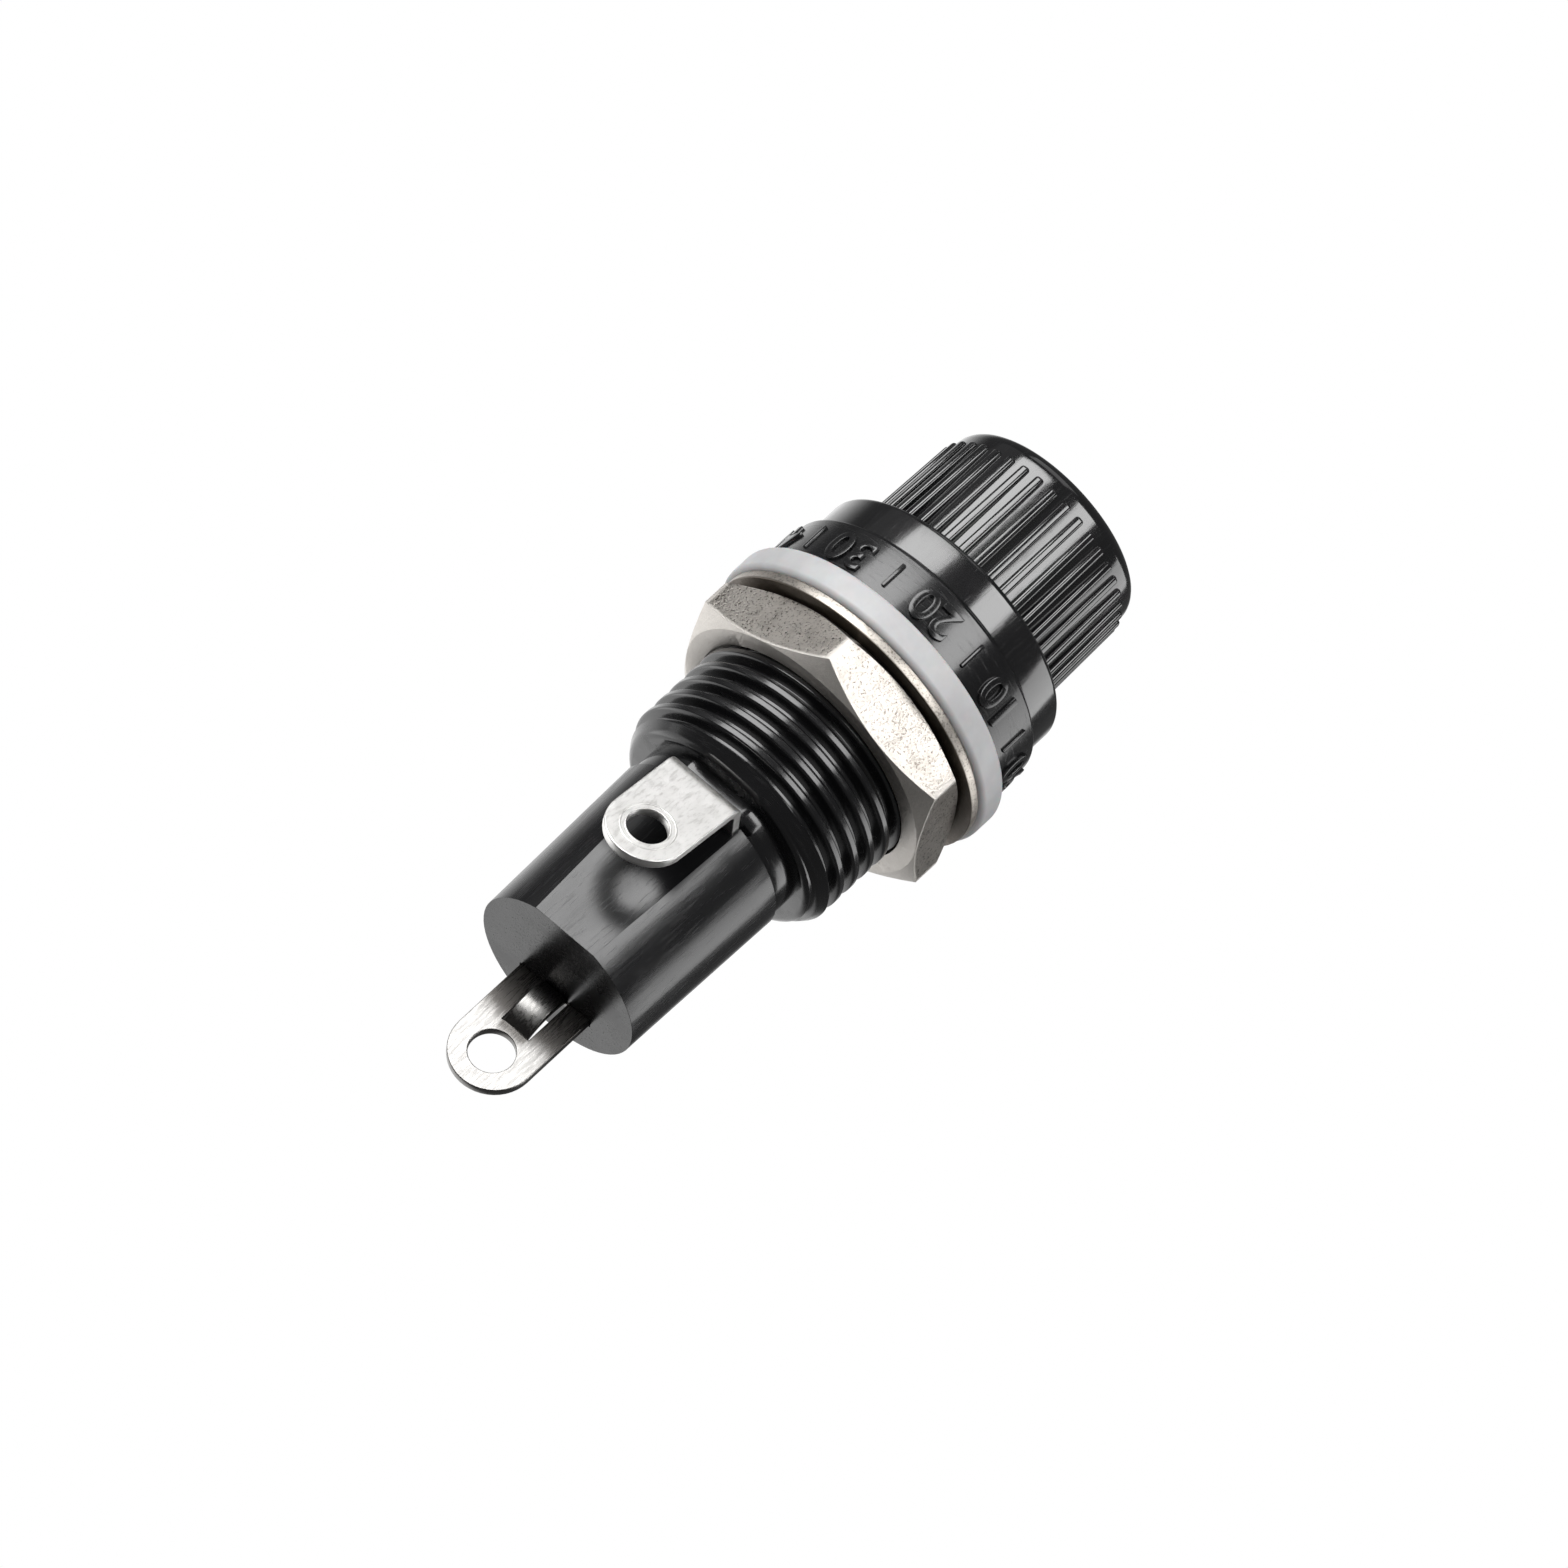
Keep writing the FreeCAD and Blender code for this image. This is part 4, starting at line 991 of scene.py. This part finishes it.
def make_world():
    """White as seen, the backdrop in reflections and an even light on the object."""
    world = bpy.data.worlds.new("studio")
    bpy.context.scene.world = world
    world.use_nodes = True
    t = Tree(world.node_tree)
    world.node_tree.nodes.clear()
    direction = t.node("ShaderNodeTexCoord").outputs["Generated"]
    strength = studio_white(t, direction)
    seen = t.node("ShaderNodeBackground", {"Color": (1, 1, 1, 1), "Strength": strength})
    plain = t.node("ShaderNodeBackground", {"Color": (0.97, 0.98, 1, 1), "Strength": WORLD_LIGHT})
    t.node("ShaderNodeOutputWorld", {"Surface": seen_white(t, plain.outputs[0], seen.outputs[0])})


def panel(name, azimuth, elevation, width, height, radiance):
    """A soft light seen from the part at this azimuth and elevation, in degrees."""
    a, e = math.radians(azimuth), math.radians(elevation)
    away = Vector((math.cos(a) * math.cos(e), math.sin(a) * math.cos(e), math.sin(e)))
    light = bpy.data.lights.new(name, "AREA")
    light.shape = "RECTANGLE"
    light.size = width
    light.size_y = height
    light.energy = radiance * math.pi * width * height
    obj = bpy.data.objects.new(name, light)
    bpy.context.scene.collection.objects.link(obj)
    obj.location = TARGET + away * PANEL_AWAY
    obj.rotation_euler = away.to_track_quat("Z", "Y").to_euler()
    obj.visible_camera = False


def make_camera():
    """The camera at the photograph's viewing angle."""
    data = bpy.data.cameras.new("camera")
    data.sensor_width = SENSOR
    data.lens = SENSOR * CAMERA_AWAY / FRAME_WIDTH
    data.clip_start = 0.01
    data.clip_end = 20
    camera = bpy.data.objects.new("camera", data)
    bpy.context.scene.collection.objects.link(camera)
    turn = Matrix((CAMERA_RIGHT, CAMERA_UP, CAMERA_BACK)).transposed()
    place = TARGET + Vector(CAMERA_BACK) * CAMERA_AWAY
    camera.matrix_world = Matrix.Translation(place) @ turn.to_4x4()
    bpy.context.scene.camera = camera


# Finishes
black_body = moulded_black(
    "black_barrel",
    low=0.16,
    high=0.25,
    scuff=0.12,
    grain=(8, 8, 1),
    depth=0.005,
    IOR=1.58,
    Coat_Weight=0.25,
)
black_tail = moulded_black("black_tail", base=0.007, low=0.22, high=0.29, IOR=1.61, Coat_Weight=0.0)
dull_behind_lug(black_tail)
black_cap = moulded_black("black_cap", low=0.1, high=0.19)
nickel = plated(
    "nickel_cast",
    dark=(0.24, 0.216, 0.192),
    light=(0.585, 0.55, 0.508),
    rough=0.31,
    grain=0.12,
    depth=0.024,
    contrast=0.75,
)
worn_and_lit_nut(nickel)
# Washer, with painted shade under its foot
nickel_thin = plated(
    "nickel_rolled",
    dark=(0.16, 0.14, 0.12),
    light=(0.6, 0.56, 0.51),
    rough=0.38,
    grain=0.11,
    depth=0.018,
    contrast=0.6,
    under=WASHER_SHADE_LINE,
)
tin = plated(
    "tin_satin",
    dark=(0.74, 0.73, 0.705),
    light=(0.92, 0.91, 0.89),
    rough=0.36,
    grain=0.12,
    depth=0.003,
    stretch=(1, 1, 9),
    contrast=0.5,
)
tin_bright = strip_of_tin("tin_bright")
brass = plated(
    "brass_sprung",
    dark=(0.62, 0.47, 0.22),
    light=(0.78, 0.62, 0.33),
    rough=0.26,
    grain=0.12,
    depth=0.005,
    stretch=(1, 1, 5),
)
steel = plated(
    "spring_wire",
    dark=(0.5, 0.5, 0.5),
    light=(0.62, 0.62, 0.62),
    rough=0.3,
    grain=0.1,
    depth=0.004,
)
gasket_grey = soft_ring("soft_gasket")

# Pieces, each with its body, its finish and the CAD nodes that it stands for
thread = thread_tree()
around = round_tree()
dress(make_barrel(thread), "holder", black_body, "threaded_body")
dress(make_nut(thread), "nut", nickel, "hex_nut")
dress(make_cap(), "cap", black_cap, "cap_knob")
dress(make_ridges(around), "cap", black_cap)
dress(make_numbers(), "holder", black_body)
dress(make_ticks(around), "holder", black_body)
dress(make_lug_ring(), "holder", tin)
dress(cad_copy("rear_shell", "tail", TAIL_EDGE, TAIL_ANGLE), "holder", black_tail, "rear_shell")
dress(cad_copy("flat_washer", "washer", WASHER_EDGE), "washer", nickel_thin, "flat_washer")
dress(make_gasket(), "holder", gasket_grey, "gasket")
dress(cad_copy("side_terminal", "side_lug", SIDE_LUG_EDGE), "holder", tin, "side_terminal")
dress(cad_copy("end_terminal", "end_lug", END_LUG_EDGE), "holder", tin_bright, "end_terminal")
dress(cad_copy("fuse_clip", "clip", BRASS_EDGE), "clip", brass, "fuse_clip")
dress(cad_copy("contact_sleeve", "sleeve", BRASS_EDGE), "holder", brass, "contact_sleeve")
dress(cad_copy("tail_contact", "plunger", PLUNGER_EDGE), "plunger", brass, "tail_contact")
dress(cad_copy("clip_rivet", "rivet", RIVET_EDGE), "clip", brass, "clip_rivet")
spring = dress(make_spring(), "holder", steel, "contact_spring")
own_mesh(spring)

# Studio
make_floor()
make_world()
make_camera()
for panel_values in PANELS:
    panel(*panel_values)
bpy.context.scene.view_settings.view_transform = "Standard"
